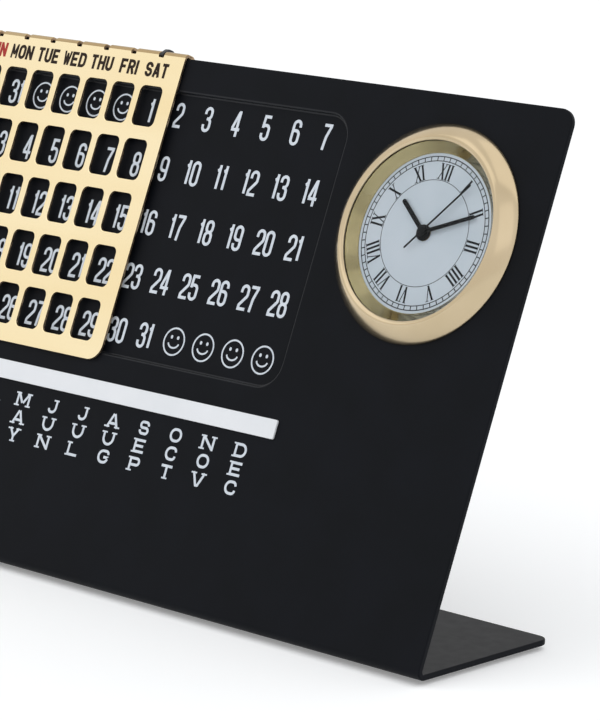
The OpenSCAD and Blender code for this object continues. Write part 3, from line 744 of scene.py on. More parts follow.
@dataclass(frozen=True)
class Finish:
    """A surface: its colour with a slow change in it, its gloss, and a fine relief.

    Args:
        name: of the material.
        colour: its usual colour, as sRGB hex.
        other: the colour that it drifts to.
        drift: size of the drifting patches in millimetres.
        roughness: at its smoothest and at its roughest.
        grain: size of the fine relief in millimetres.
        relief: height of the fine relief in millimetres.
        stretch: how many times longer the relief is along each axis.
        metallic: 1 for a metal.
        specular: level of the mirror reflection of what isn't a metal.
    """

    name: str
    colour: str
    other: str
    drift: float
    roughness: tuple[float, float]
    grain: float
    relief: float
    stretch: tuple[float, float, float] = (1.0, 1.0, 1.0)
    metallic: float = 0.0
    specular: float = 0.5

    def pattern(self, tree: bpy.types.NodeTree, size: float, detail: float = 3.0) -> bpy.types.NodeSocket:
        """Noise whose patches are a given size in millimetres, stretched as the finish says."""
        place = add(tree, "TexCoord").outputs["Object"]
        share = [1 / s for s in self.stretch]
        along = add(tree, "Mapping", {"Scale": share}, {"Vector": place})
        noise = add(tree, "TexNoise", {"Scale": 1 / (size * MM), "Detail": detail},
                    {"Vector": along.outputs[0]})
        return noise.outputs[0]

    def tint(self, tree: bpy.types.NodeTree) -> bpy.types.NodeSocket:
        """The colour, drifting from one to the other where slow noise goes from 0.35 to 0.65."""
        share = add(tree, "MapRange", {"From Min": 0.35, "From Max": 0.65},
                    {"Value": self.pattern(tree, self.drift)})
        return add(tree, "Mix", {"data_type": "RGBA", 6: linear(self.colour), 7: linear(self.other)},
                   {0: share.outputs[0]}).outputs[2]

    def make(self) -> bpy.types.Material:
        """Builds the material, once for each name."""
        made = bpy.data.materials.get(self.name)
        if made:
            return made
        made = bpy.data.materials.new(self.name)
        made.use_nodes = True
        made.diffuse_color = linear(self.colour)
        tree = made.node_tree
        tree.nodes.clear()
        low, high = self.roughness
        fine = self.pattern(tree, self.grain, 2.0)
        gloss = add(tree, "MapRange", {"From Min": 0.3, "From Max": 0.7, "To Min": low, "To Max": high},
                    {"Value": self.pattern(tree, self.grain * 6)})
        bump = add(tree, "Bump", {"Strength": 1.0, "Distance": self.relief * MM}, {"Height": fine})
        links = {"Base Color": self.tint(tree), "Roughness": gloss.outputs[0], "Normal": bump.outputs[0]}
        surface = add(tree, "BsdfPrincipled",
                      {"Metallic": self.metallic, "Specular IOR Level": self.specular}, links)
        self.close(tree, surface)
        return made

    def close(self, tree: bpy.types.NodeTree, surface: bpy.types.Node) -> None:
        """Leads the shader to the material's output."""
        add(tree, "OutputMaterial", None, {"Surface": surface.outputs[0]})


@dataclass(frozen=True)
class Glass(Finish):
    """Clear mineral glass that lets lamp light through to what is under it.

    Args:
        index: of refraction.
        shade: colour of the light that it lets through.
    """

    index: float = 1.15
    shade: tuple[float, float, float, float] = (0.96, 0.97, 0.97, 1.0)

    def close(self, tree: bpy.types.NodeTree, surface: bpy.types.Node) -> None:
        """Makes the shader clear, and lets shadow rays pass."""
        surface.inputs["Transmission Weight"].default_value = 1.0
        surface.inputs["IOR"].default_value = self.index
        clear = add(tree, "BsdfTransparent", {"Color": self.shade})
        ray = add(tree, "LightPath").outputs["Is Shadow Ray"]
        both = add(tree, "MixShader", None, {0: ray, 1: surface.outputs[0], 2: clear.outputs[0]})
        add(tree, "OutputMaterial", None, {"Surface": both.outputs[0]})


# Steel sheet with a satin black powder coat: nearly no gloss at all, with a very fine orange peel.
PAINTED_STEEL = Finish("satin_black_powder_coat", "#0f1115", "#111318", 9, (0.44, 0.48), 0.35,
                       0.0015, specular=0.07)
# The same coat on the wall of the stamped recess, glossier and with a painted highlight: its lighter colour
# stands in for the light that the step catches.
RECESS_WALL_PAINTED_HIGHLIGHT = Finish("recess_wall_coat_painted_highlight", "#15171b", "#181a1f", 9, (0.34, 0.4), 0.35, 0.001,
                         specular=0.22)
# Steel sheet under satin gold plating: pale, with soft highlights and faint lengthwise rolling marks.
SATIN_GOLD = Finish("satin_gold_plated_sheet", "#fae8be", "#f6e1b2", 14, (0.2, 0.27), 0.25, 0.0012,
                    (6, 1, 1), 1.0)
# The blanked edge of that sheet: browner and dull, with fine tear marks from front to back. Its dark colour
# is partly painted shade, for the black face mirrored in the walls.
SHEARED_GOLD_PAINTED_SHADE = Finish("sheared_gold_edge_painted_shade", "#bca184", "#6e5d50", 0.35, (0.4, 0.55), 0.12,
                      0.02, (1, 6, 3), 1.0)
# The same sheet where it is folded over, with painted shade: darker and browner than the front, and duller.
GOLD_FOLD_PAINTED_SHADE = Finish("gold_sheet_painted_shade_on_fold", "#b9a27a", "#ac926a", 6, (0.3, 0.38), 0.25, 0.0012,
                     (6, 1, 1), 1.0)
# Turned and polished bezel under gold plating: soft-edged mirror reflections, very slightly wavy.
POLISHED_GOLD = Finish("polished_gold_plating", "#cdbb9c", "#c2b090", 16, (0.15, 0.2), 3.0, 0.003,
                       metallic=1.0)
# Spun reflector ring: darker, olive gold with nearly sharp reflections.
SPUN_GOLD = Finish("spun_gold_reflector", "#a39570", "#8f815e", 8, (0.05, 0.09), 0.3, 0.001, metallic=1.0)
# Screen-printed paper-white enamel of the dial: even and matt.
DIAL_ENAMEL = Finish("matt_white_dial_enamel", "#d6dbe5", "#d0d6e0", 7, (0.5, 0.6), 0.1, 0.001, specular=0.3)
# Pad-printed white ink: matt, a little uneven where it is thin.
WHITE_INK = Finish("white_printing_ink", "#dfe5ec", "#d0d7e0", 0.8, (0.5, 0.6), 0.1, 0.002, specular=0.2)
# Dark brown ink on gold, matt.
BROWN_INK = Finish("dark_brown_printing_ink", "#291f19", "#33271f", 0.8, (0.5, 0.6), 0.1, 0.002, specular=0.1)
# Red ink on gold, matt.
RED_INK = Finish("red_printing_ink", "#b5332b", "#a32a26", 0.8, (0.5, 0.6), 0.1, 0.002, specular=0.3)
# Black ink on the dial, matt.
BLACK_INK = Finish("black_printing_ink", "#17181b", "#222327", 0.8, (0.5, 0.6), 0.1, 0.001, specular=0.08)
# Smooth white vinyl strip, with a soft sheen.
WHITE_STRIP = Finish("smooth_white_vinyl", "#eff0f3", "#e9ebee", 10, (0.35, 0.42), 0.3, 0.002, specular=0.4)
# Blackened spring steel: dark, with a dull grey sheen.
BLACK_SPRING = Finish("blackened_spring_steel", "#1c1c1f", "#26262a", 2, (0.35, 0.5), 0.2, 0.002,
                      (1, 4, 1), specular=0.5)
# Foam rubber pads: matt and pitted.
PAD_RUBBER = Finish("cellular_rubber", "#1b1b1c", "#262627", 1.5, (0.8, 0.95), 0.3, 0.03, specular=0.2)
# Moulded rubber of the ring that holds the clock: smoother than the pads.
RING_RUBBER = Finish("moulded_rubber", "#1a1a1b", "#212122", 3, (0.6, 0.72), 0.2, 0.006, specular=0.3)
# Lacquered brass case: warm and fairly bright.
CASE_BRASS = Finish("lacquered_brass", "#d2b077", "#c6a367", 5, (0.2, 0.3), 0.3, 0.002, (1, 1, 5), 1.0)
# Injection-moulded ABS with a fine spark-eroded grain.
BLACK_ABS = Finish("black_grained_abs", "#1e1e20", "#242426", 4, (0.45, 0.58), 0.15, 0.008, specular=0.45)
# White acetal of the movement's rings and wheels: waxy and plain.
WHITE_ACETAL = Finish("white_acetal", "#e9e8e2", "#dfded7", 3, (0.35, 0.45), 0.2, 0.002, specular=0.45)
# Stamped brass plates and cut brass wheels, lightly brushed.
MOVEMENT_BRASS = Finish("brushed_movement_brass", "#cbb07a", "#bda06a", 2, (0.25, 0.38), 0.12,
                        0.002, (5, 1, 1), 1.0)
# Nickelled steel parts of the movement.
MOVEMENT_STEEL = Finish("nickelled_movement_steel", "#b9bbbd", "#a8abae", 2, (0.25, 0.36), 0.12,
                        0.002, (1, 5, 1), 1.0)
# Black lacquered hands: nearly without a sheen, so that they stand out against the dial.
HAND_LACQUER = Finish("black_hand_lacquer", "#0e0f11", "#141518", 1, (0.3, 0.4), 0.1, 0.001, specular=0.08)
# Enamelled copper wire, wound side by side.
COIL_COPPER = Finish("enamelled_copper_wire", "#b8673a", "#a4552c", 0.6, (0.25, 0.4), 0.08, 0.012,
                     (1, 8, 1), 1.0)
# Nickel-plated can of the cell and of the crystal.
CELL_NICKEL = Finish("nickel_plated_can", "#c9cacb", "#babcbe", 3, (0.15, 0.25), 0.2, 0.001, metallic=1.0)
# Green solder mask over glass-fibre board.
BOARD_GREEN = Finish("green_solder_mask", "#1f5b3a", "#174a2f", 0.7, (0.3, 0.4), 0.15, 0.004, specular=0.5)
# Sintered magnet under dull nickel.
DARK_MAGNET = Finish("sintered_magnet", "#4a4b4e", "#3d3e41", 0.8, (0.35, 0.5), 0.1, 0.004, metallic=1.0)
# Flat mineral glass over the dial, with weak reflections so that the dial stays clear.
CRYSTAL = Glass("mineral_glass", "#f7fafa", "#f4f8f8", 10, (0.0, 0.01), 5.0, 0.0, specular=0.5)


class Body(Enum):
    """The bodies of the part that pieces move with."""

    STAND = "stand"
    DAY_FRAME = "date_frame"
    MARKER = "month_marker"
    HOUR_HAND = "hour_hand"
    MINUTE_HAND = "minute_hand"
    SECOND_HAND = "second_hand"


def piece(name: str, shape: Shape, body: Body, slot: str, finishes: Sequence[Finish],
          stands_for: Sequence[str] = (), smooth: bool = True) -> bpy.types.Object:
    """Makes a finished piece of the object.

    Args:
        name: of the piece.
        shape: placed in the part's frame, in millimetres.
        body: that it moves with.
        slot: of the record that its finish belongs to. It is not used.
        finishes: in the order of the numbers in the shape's patches.
        stands_for: the frame's nodes that it is shown instead of.
        smooth: whether its faces are shaded as one rounded surface.

    Returns:
        The object.
    """
    made = to_object(name, shape, smooth)
    for finish in finishes:
        made.data.materials.append(finish.make())
    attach(made, body.value)
    if stands_for:
        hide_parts(*stands_for)
    log.info("%s: %d faces on %s", name, len(made.data.polygons), body.value)
    return made


def dress(finish: Finish, *nodes: str) -> None:
    """Gives nodes of the frame, whose shape stays, their finish."""
    for node in nodes:
        materials = frame["nodes"][node].data.materials
        materials.clear()
        materials.append(finish.make())
        log.info("%s: %s", node, finish.name)


# The object's sub-assemblies ------------------------------------------------------------------------


@dataclass
class Stand:
    """The bent black sheet with its pads, printed dates and months, strip and index finger."""

    width: float = 149.0
    height: float = 94.0
    foot: float = 33.2
    thickness: float = 1.0
    bend_r: float = 1.5
    bend_run: float = 2.2115
    lean: float = 21.7
    corner_r: float = 2.7
    foot_corner_r: float = 2.2
    edge_r: float = 0.22
    calendar_x: float = -18.25
    column_step: float = 7.0
    row_step: float = 9.76
    first_dates_y: float = 83.92
    recess: tuple[float, float, float] = (94.1, 47.5, 4.5)
    recess_y: float = 64.15
    recess_d: float = 0.65
    recess_wall: float = 0.6
    clock: tuple[float, float, float] = (51.4, 70.4, 16.6)
    strip: tuple[float, float, float] = (99.9, 3.3, 0.4)
    strip_y: float = 33.9
    first_month_x: float = -58.82
    month_step: float = 7.64
    pad: tuple[float, float] = (4.0, 0.8)
    pad_inset: float = 6.5
    finger_t: float = 0.6
    finger_w: float = 1.0
    finger_root: tuple[float, float, float] = (5.0, 8.5, 1.0)
    finger_root_y: float = 83.25
    finger_root_z: float = -1.65
    digits: Lettering = Lettering(4.55, 0.54, 0.16)
    digit_w: float = 2.0
    smile_r: float = 2.36
    mouth: tuple[float, float, float] = (1.25, 0.95, -0.15)
    eye: tuple[float, float, float] = (0.75, 0.26, 0.3)
    smile_lines: tuple[float, float, float] = (0.29, 0.3, 0.34)
    month_letters: Lettering = Lettering(2.45, 0.46, slab=0.62)
    month_letter_w: float = 2.5
    months_y: float = 29.3
    month_line: float = 3.2
    face: FaceFrame = field(kw_only=True)

    def sheet(self) -> Shape:
        """The bent sheet: a flat blank with a stamped recess, a hole and rounded edges, then its bend.

        The recess's wall is two arcs of half its depth d: offsets d/2 (sin a - 1) at depths
        d/2 (1 - cos a), then offsets d/2 (1 - cos a) at depths d/2 (1 + sin a).

        Returns:
            The sheet in the part's frame.
        """
        flat = self.foot - self.bend_run
        bend = self.bend_r * math.radians(90 + self.lean)
        shift = flat + bend - self.bend_run
        path = BentPath((self.face.origin[1] + self.foot, self.face.origin[2]), 180.0,
                        ((flat, 0.0), (bend, -(90 + self.lean)), (self.height - self.bend_run, 0.0)), -1)
        half, top, r, low_r = self.width / 2, shift + self.height, self.corner_r, self.foot_corner_r
        outline = rounded([(half, 0, low_r), (half, top, r), (-half, top, r), (-half, 0, low_r)])
        skin, creases = Skin(), path.creases()
        outer, outer_back = skin.edge(split_at(outline, creases), self.thickness, self.edge_r)
        hole = circle(self.clock[2], self.clock[0], self.clock[1] + shift)[::-1]
        rim, rim_back = skin.edge(hole, self.thickness, self.edge_r)
        turn, deep = np.radians(np.linspace(0, 90, 5)), self.recess_d / 2
        offsets = np.concatenate([deep * (np.sin(turn) - 1), deep * (1 - np.cos(turn[1:]))])
        depths = np.concatenate([deep * (1 - np.cos(turn)), deep * (1 + np.sin(turn[1:]))])
        w, h, r = self.recess
        stamped = box_loop(w, h, r, self.calendar_x, self.recess_y + shift)[::-1]
        front = [skin.ring(inset(stamped, -o), d) for o, d in zip(offsets, depths)]
        wall = 2 * self.recess_wall
        raised = box_loop(w + wall, h + wall, r + self.recess_wall, self.calendar_x, self.recess_y + shift)
        back = [skin.ring(inset(raised, o), self.thickness + d) for o, d in zip(offsets, depths)]
        # The recess's front wall takes the second finish, whose lighter colour is a painted highlight.
        for rings, use in ((front, 1), (back, 0)):
            for near, far in zip(rings[:-1], rings[1:]):
                skin.band(near, far, use)
        skin.fill([outer, rim, front[0]], creases)
        skin.fill([front[-1]])
        skin.fill([outer_back, rim_back, back[0]], creases, back=True)
        skin.fill([back[-1]], back=True)

        def place(points: np.ndarray) -> np.ndarray:
            """Bends the blank: X stays, and the side view gives Y and Z."""
            y, z = path.place(points[:, 1], points[:, 2])
            return np.stack([points[:, 0], y, z], axis=1)

        return skin.shape().mapped(place)

    def pads(self) -> Shape:
        """Four round pads under the foot, with a rounded lower edge, from the table up to the sheet."""
        r, t = self.pad
        pad = lathe(rounded([(0, 0, 0), (r, 0, 0.25), (r, t, 0.05), (0, t, 0)]), 64)
        ys = self.face.origin[1] + np.array([self.bend_run + self.pad_inset, self.foot - self.pad_inset])
        x = self.width / 2 - self.pad_inset
        return joined([pad.moved(side * x, y) for side in (-1, 1) for y in ys])

    def finger(self) -> Shape:
        """The spring finger: a root plate behind the recess, and a strip over the fold into a notch."""
        centre = np.array([(79, -1.95, 0), (87.5, -1.95, 1), (88.9, -2.25, 1), (94.2, -2.25, 0.6),
                           (95.0, -1.45, 0.6), (95.0, -0.4, 0.5), (93.85, 0.75, 0)])
        pieces = ribbon(bent(centre), self.finger_t)
        outline = np.concatenate([pieces[:, 0], pieces[-1:, 1], pieces[::-1, 2], pieces[:1, 3]])
        arm = plate(outline if area(outline) > 0 else outline[::-1], [], self.finger_w, 0.12)
        root = plate(box_loop(*self.finger_root), [], self.finger_t, 0.1)
        root = root.moved(self.calendar_x, self.finger_root_y)

        def stood(points: np.ndarray) -> np.ndarray:
            """Turns the side view upright: its two coordinates become Y and Z, and depth runs along X."""
            across = self.calendar_x - self.finger_w / 2 + points[:, 2]
            return np.stack([across, points[:, 0], points[:, 1]], axis=1)

        behind = root.mapped(lambda p: p * [1, 1, -1] + [0, 0, self.finger_root_z])
        return joined([arm.mapped(stood), behind]).mapped(self.face.place)

    def marker_strip(self) -> Shape:
        """The white strip along which the month marker slides."""
        w, h, t = self.strip
        flat = plate(box_loop(w, h, 0.3), [], t, 0.08)
        return flat.mapped(lambda p: self.face.place(p * [1, 1, -1] + [self.calendar_x, self.strip_y, t]))

    def dates(self) -> Shape:
        """The five rows of dates, each under a window, and plain smiling rounds in the spare places."""
        face, low, made = self.smile(), -self.recess_d, []
        for row in range(5):
            for column, day in enumerate(range(7 * row - 5, 7 * row + 8)):
                at = [self.calendar_x + (column - 6) * self.column_step,
                      self.first_dates_y - row * self.row_step]
                shown = 30 + column if row == 0 and column < 2 else day
                signs = self.digits.word(str(shown), self.digit_w) if 1 <= shown <= 31 else face
                made.append(inked([sign + at for sign in signs], low - INK_UNDER, low + INK_OVER))
        return joined(made).mapped(self.face.place)

    def smile(self) -> list[np.ndarray]:
        """A round with a smile: a circle, two dots as far up as they are out, and half an ellipse."""
        ring_line, mouth_line, eye_line = self.smile_lines
        rx, ry, low = self.mouth
        out, half_w, half_h = self.eye
        ring = ribbon(arc(0, 0, self.smile_r, self.smile_r, 0, 360, 8), ring_line)
        mouth = ribbon(arc(0, low, rx, ry, 190, 350), mouth_line)
        eyes = [ribbon(np.array([[x - a, out - b], [x + a, out + b]]), eye_line)
                for x in (-out, out) for a, b in ((half_w, 0.0), (0.0, half_h))]
        return [ring, mouth, *eyes]

    def months(self) -> Shape:
        """The twelve months, each in three letters from top to bottom."""
        names = "JAN FEB MAR APR MAY JUN JUL AUG SEP OCT NOV DEC".split()
        made = []
        for month, name in enumerate(names):
            for line, letter in enumerate(name):
                at = [self.first_month_x + month * self.month_step, self.months_y - self.month_line * line]
                signs = self.month_letters.character(letter, SLAB_WIDTHS.get(letter, self.month_letter_w))
                made.append(inked([sign + at for sign in signs], -INK_UNDER, INK_OVER))
        return joined(made).mapped(self.face.place)

    def build(self) -> None:
        """Makes and dresses everything that belongs to the stand."""
        rows = [("bent_stand_sheet", self.sheet(), "black_paint", [PAINTED_STEEL, RECESS_WALL_PAINTED_HIGHLIGHT], "stand"),
                ("rubber_foot_pads", self.pads(), "pad_rubber", [PAD_RUBBER], "foot_pads"),
                ("spring_finger", self.finger(), "black_spring", [BLACK_SPRING], "index_finger"),
                ("white_marker_strip", self.marker_strip(), "white_strip", [WHITE_STRIP], "month_strip")]
        for name, shape, slot, finishes, node in rows:
            piece(name, shape, Body.STAND, slot, finishes, [node])
        for name, shape in (("printed_dates", self.dates()), ("printed_months", self.months())):
            piece(name, shape, Body.STAND, "white_strip", [WHITE_INK], smooth=False)


@dataclass
class DayFrame:
    """The gold frame with its windows, hung over the top edge of the face."""

    face: FaceFrame
    x: float = Stand.calendar_x - 3 * Stand.column_step
    width: float = 53.8
    low_y: float = 38.66
    top_y: float = 94.7
    front: float = 0.8
    back: float = -1.8
    lip_low_y: float = 89.8
    thickness: float = 0.65
    fold_r: float = 0.8
    window: tuple[float, float, float] = (5.55, 7.3, 1.15)
    column_step: float = Stand.column_step
    row_step: float = Stand.row_step
    top_row_y: float = 84.5
    corner_r: float = 3.0
    notch: tuple[float, float] = (1.3, 93.5)
    labels_y: float = 91.05
    letters: Lettering = Lettering(2.7, 0.56, 0.2)
    letter_w: float = 1.75
    crowded_w: float = 1.8

    def sheet(self) -> Shape:
        """The frame: a flat blank with windows and notches, folded twice over the top edge."""
        straight, quarter = self.top_y - self.fold_r - self.low_y, self.fold_r * math.pi / 2
        bridge = self.front - self.back - 2 * self.fold_r
        lip = self.top_y - self.fold_r - self.lip_low_y
        path = BentPath((self.low_y, self.front), 0.0,
                        ((straight, 0.0), (quarter, -90.0), (bridge, 0.0), (quarter, -90.0), (lip, 0.0)), -1)
        long, half, r = straight + 2 * quarter + bridge + lip, self.width / 2, self.corner_r
        outline = rounded([(half, 0, r), (half, long, 0.3), (-half, long, 0.3), (-half, 0, r)])
        columns = (np.arange(7) - 3) * self.column_step
        w, h, r = self.window
        windows = [box_loop(w, h, r, x, self.top_row_y - row * self.row_step - self.low_y)
                   for row in range(5) for x in columns]
        slot, slot_low = self.notch[0], self.notch[1] - self.low_y
        slot_high = long - (self.notch[1] - self.lip_low_y)
        notches = [box_loop(slot, slot_high - slot_low, 0.15, x, (slot_low + slot_high) / 2) for x in columns]
        # The edges' walls take the second finish, whose dark colour is partly painted shade.
        blank = plate(outline, windows + notches, self.thickness, 0.16, path.creases(), wall=1)
        patches = []
        # Faces over the fold, but not the edges' walls, take the third finish, whose darker colour is painted
        # shade.
        for faces, use in blank.patches:
            folded = blank.points[faces][:, :, 1].mean(axis=1) > straight
            patches += [(faces[~folded], use), (faces[folded], use or 2)]
        blank = Shape(blank.points, [(faces, use) for faces, use in patches if len(faces)])

        def place(points: np.ndarray) -> np.ndarray:
            """Folds the blank and sets it on the face."""
            y, z = path.place(points[:, 1], points[:, 2])
            return self.face.place(np.stack([points[:, 0] + self.x, y, z], axis=1))

        return blank.mapped(place)

    def labels(self) -> Shape:
        """The seven days of the week, the first in its own ink."""
        made = []
        for column, name in enumerate("SUN MON TUE WED THU FRI SAT".split()):
            at = [self.x + (column - 3) * self.column_step, self.labels_y]
            width = self.crowded_w if set(name) & set(CROWDED) else self.letter_w
            signs = [sign + at for sign in self.letters.word(name, width)]
            shape = inked(signs, self.front - INK_UNDER, self.front + INK_OVER)
            made.append(Shape(shape.points, [(faces, int(column == 0)) for faces, _ in shape.patches]))
        return joined(made).mapped(self.face.place)

    def build(self) -> None:
        """Makes and dresses the frame and its prints."""
        piece("gold_day_frame", self.sheet(), Body.DAY_FRAME, "satin_gold",
              [SATIN_GOLD, SHEARED_GOLD_PAINTED_SHADE, GOLD_FOLD_PAINTED_SHADE], ["date_frame"])
        piece("printed_weekdays", self.labels(), Body.DAY_FRAME, "satin_gold",
              [BROWN_INK, RED_INK], smooth=False)


@dataclass
class MonthMarker:
    """The gold marker that slides along the white strip, with its magnet inside."""

    face: FaceFrame
    x: float = Stand.first_month_x
    y: float = Stand.strip_y
    width: float = 5.6
    height: float = 4.8
    nose: float = 1.0
    low: float = 0.1
    top: float = 2.3
    groove: tuple[float, float] = (3.5, 0.4)
    magnet: tuple[float, float] = (1.42, 1.2)

    def shell(self) -> Shape:
        """The shell: a plate with a nose, a groove over the strip and a pocket for the magnet."""
        a, b, thick = self.width / 2, self.height / 2, self.top - self.low
        outline = rounded([(0, -b - self.nose, 0.35), (a, -b, 0.3), (a, b, 0.5), (-a, b, 0.5), (-a, -b, 0.3)])
        edge = self.groove[0] / 2
        creases = [s * edge + d for s in (-1, 1) for d in (-0.005, 0.005)]
        skin = Skin()
        near, far = skin.edge(split_at(outline, creases), thick, 0.3)
        pocket = circle(self.magnet[0], step=10)[::-1]
        mouth, floor = skin.ring(pocket, thick), skin.ring(pocket, thick - self.groove[1] - self.magnet[1])
        skin.band(floor, mouth)
        skin.fill([near], creases)
        skin.fill([far, mouth], creases, back=True)
        skin.fill([floor], back=True)

        def place(points: np.ndarray) -> np.ndarray:
            """Raises the underside between the groove's walls, and sets the shell on the strip."""
            inner = (abs(points[:, 1]) < edge) & (points[:, 2] > thick - 0.35)
            z = self.top - points[:, 2] + inner * self.groove[1]
            return self.face.place(np.stack([points[:, 0] + self.x, points[:, 1] + self.y, z], axis=1))

        return skin.shape().mapped(place)

    def build(self) -> None:
        """Makes the shell and dresses the magnet."""
        piece("gold_month_marker", self.shell(), Body.MARKER, "satin_gold", [SATIN_GOLD], ["marker_shell"])
        dress(DARK_MAGNET, "marker_magnet", "rotor")


@dataclass
class Clock:
    """The inset clock: bezel, crystal, reflector, dial with its prints, hands, case and holding ring."""

    face: FaceFrame
    x: float = Stand.clock[0]
    y: float = Stand.clock[1]
    bezel_r: float = 18.65
    bezel_h: float = 2.75
    edge_h: float = 0.2
    bulge: float = 1.6
    lip_r: float = 15.2
    lip_top: float = 2.35
    crystal: tuple[float, float, float] = (15.6, 2.0, 2.2)
    neck: tuple[float, float] = (15.65, -2.0)
    case_r: float = 16.3
    case_in_r: float = 15.0
    case_low: float = -9.5
    back_low: float = -10.9
    back_r: float = 15.6
    back_taper: float = 0.6
    skirt: tuple[float, float, float, float] = (14.25, 14.95, -9.6, -2.95)
    stem: tuple[float, float] = (5.2, 0.56)
    dial_z: float = 0.4
    dial_show_r: float = 13.5
    turned: float = 5.2
    numeral_r: float = 10.48
    numeral_half: float = 1.3
    numeral_lines: tuple[float, float, float] = (0.36, 0.16, 0.11)
    numeral_gap: float = 0.48
    foot_half: float = 0.3
    rings: tuple[tuple[float, float], ...] = ((12.95, 0.16), (12.2, 0.14), (9.0, 0.1))
    tick: tuple[float, float, float] = (0.36, 0.17, 12.58)
    groove: tuple[float, float, float, float, float] = (12.6, 12.0, 0.3, 0.12, 0.1)
    keeper: tuple[float, float, float, float] = (16.35, 18.9, -3.2, -1.05)
    hour_collar: tuple[float, float, float, float] = (0.86, 1.36, 0.79, 0.85)
    minute_collar: tuple[float, float, float, float] = (0.34, 0.99, 1.12, 1.18)

    def placed(self, shape: Shape) -> Shape:
        """Sets a shape that was made round the clock's centre in its place."""
        return shape.moved(self.x, self.y).mapped(self.face.place)

    def bezel(self) -> Shape:
        """The bezel: up from its rim to its crest, and down a quarter ellipse to the lip.

        The rise is a flattened quarter ellipse, with cos a and sin a raised to the power of its bulge.

        Returns:
            The bezel round the clock's centre.
        """
        crest, low = self.lip_r + 0.8, self.edge_h
        rise = arc(0, 0, 1, 1, 0, 90, 3).clip(0) ** self.bulge
        rise = rise * [self.bezel_r - crest, self.bezel_h - low] + [crest, low]
        dip = arc(crest, self.lip_top, crest - self.lip_r, self.bezel_h - self.lip_top, 90, 180, 6)[1:]
        neck_r, neck_z = self.neck
        top = self.crystal[2]
        rest = rounded([(self.lip_r, self.lip_top, 0), (self.lip_r, top, 0.03), (neck_r, top, 0),
                        (neck_r, neck_z, 0.05), (self.case_r, neck_z, 0.1), (self.case_r, 0, 0),
                        (self.bezel_r, 0, 0.1), (self.bezel_r, low, 0)])[1:-1]
        return lathe(np.concatenate([rise, dip, rest]), 192)

    def reflector(self) -> Shape:
        """The cone between the crystal and the dial, with a fine step at its foot."""
        r, low = self.crystal[0], self.crystal[1] - 0.05
        return lathe(rounded([(self.dial_show_r, self.dial_z, 0), (r, self.dial_z, 0), (r, low, 0.03),
                              (self.lip_r - 0.05, low, 0.05),
                              (self.dial_show_r + 0.12, self.dial_z + 0.16, 0.03),
                              (self.dial_show_r, self.dial_z + 0.1, 0.03)]), 192)

    def glass(self) -> Shape:
        """The crystal: a flat disc with a small chamfer."""
        r, low, top = self.crystal
        return lathe(rounded([(0, low, 0), (r, low, 0.04), (r, top, 0.06), (0, top, 0)]))

    def numerals(self) -> list[np.ndarray]:
        """Roman numerals round the dial, with their feet towards its centre.

        Thick and thin strokes lie side by side, each numeral's middle on its hour's line.

        Returns:
            The four-cornered pieces of all the strokes.
        """
        names = "XII I II III IIII V VI VII VIII IX X XI".split()
        advance, half, made = {"I": 0.72, "V": 1.5, "X": 1.42}, self.numeral_half, []
        thick, thin, foot = self.numeral_lines
        for hour, name in enumerate(names):
            steps = np.cumsum([advance[c] for c in name])
            for c, end in zip(name, steps):
                x = end - advance[c] / 2 - steps[-1] / 2
                wide = advance[c] / 2 - self.numeral_gap / 2
                strokes = {
                    "I": [((0, -half), (0, half), thick)],
                    "V": [((-wide, half), (0.02, -half), thick), ((wide, half), (-0.02, -half), thin)],
                    "X": [((-wide, half), (wide, -half), thick), ((wide, half), (-wide, -half), thin)],
                }[c]
                feet = {"I": [(0, half), (0, -half)], "V": [(-wide, half), (wide, half)],
                        "X": [(-wide, half), (wide, half), (-wide, -half), (wide, -half)]}[c]
                strokes += [((fx - self.foot_half, fy), (fx + self.foot_half, fy), foot) for fx, fy in feet]
                made += [self.on_ring(ribbon(np.array([a, b]) + [x, 0], w), 30 * hour, self.numeral_r)
                         for a, b, w in strokes]
        return made

    def on_ring(self, pieces: np.ndarray, degrees: float, radius: float) -> np.ndarray:
        """Turns pieces clockwise by an angle about the dial's centre, after lifting them by a radius."""
        turn = math.radians(degrees + self.turned)
        cos, sin = math.cos(turn), math.sin(turn)
        lifted = pieces + [0, radius]
        x, y = lifted[..., 0], lifted[..., 1]
        return np.stack([x * cos + y * sin, y * cos - x * sin], axis=-1)

    def track(self) -> list[np.ndarray]:
        """The minute track: two circles with sixty ticks between them, and a fine circle inside."""
        rings = [ribbon(arc(0, 0, r, r, 0, 360, 3), w) for r, w in self.rings]
        half, width, radius = self.tick
        tick = ribbon(np.array([[0, -half], [0, half]]), width)
        return rings + [self.on_ring(tick, 6 * i, radius) for i in range(60)]

    def cap(self) -> Shape:
        """The small domed cap on the second hand's hub."""
        return lathe(rounded([(0, 1.37, 0), (0.84, 1.37, 0.02), (0.84, 1.47, 0.06), (0.4, 1.6, 0.3),
                              (0, 1.6, 0)]), 48)

    def ring(self, inner: float, outer: float, low: float, high: float,
             rounds: tuple[float, float] = (0.03, 0.02), steps: int = 48) -> Shape:
        """A ring with its two front edges rounded, as it closes a hand's hub over the end of its pipe."""
        return lathe(rounded([(inner, low, 0), (outer, low, 0), (outer, high, rounds[0]),
                              (inner, high, rounds[1])]), steps)

    def back(self) -> Shape:
        """The case's back: a disc with the stem's hole and a round pressed groove, and the skirt on it."""
        thick = self.case_low - self.back_low
        skin = Skin()
        outer, inner = skin.edge(circle(self.back_r), thick, 0.3)
        hole = circle(self.stem[1], 0, self.stem[0], 12)
        mouth, far = skin.edge(hole[::-1], thick, 0.08)
        outer_r, inner_r, deep, flare, lip = self.groove
        outer_loop, inner_loop = circle(outer_r)[::-1], circle(inner_r)[::-1]
        groove = [skin.ring(inset(loop, o), d) for loop, o, d in (
            (outer_loop, flare, 0.0), (outer_loop, 0.0, lip), (outer_loop, 0.0, deep),
            (inner_loop, 0.0, deep), (inner_loop, 0.0, lip), (inner_loop, -flare, 0.0))]
        for near, after in zip(groove[:-1], groove[1:]):
            skin.band(near, after)
        skin.fill([outer, groove[0]])
        skin.fill([groove[-1], mouth])
        skin.fill([inner, far], back=True)

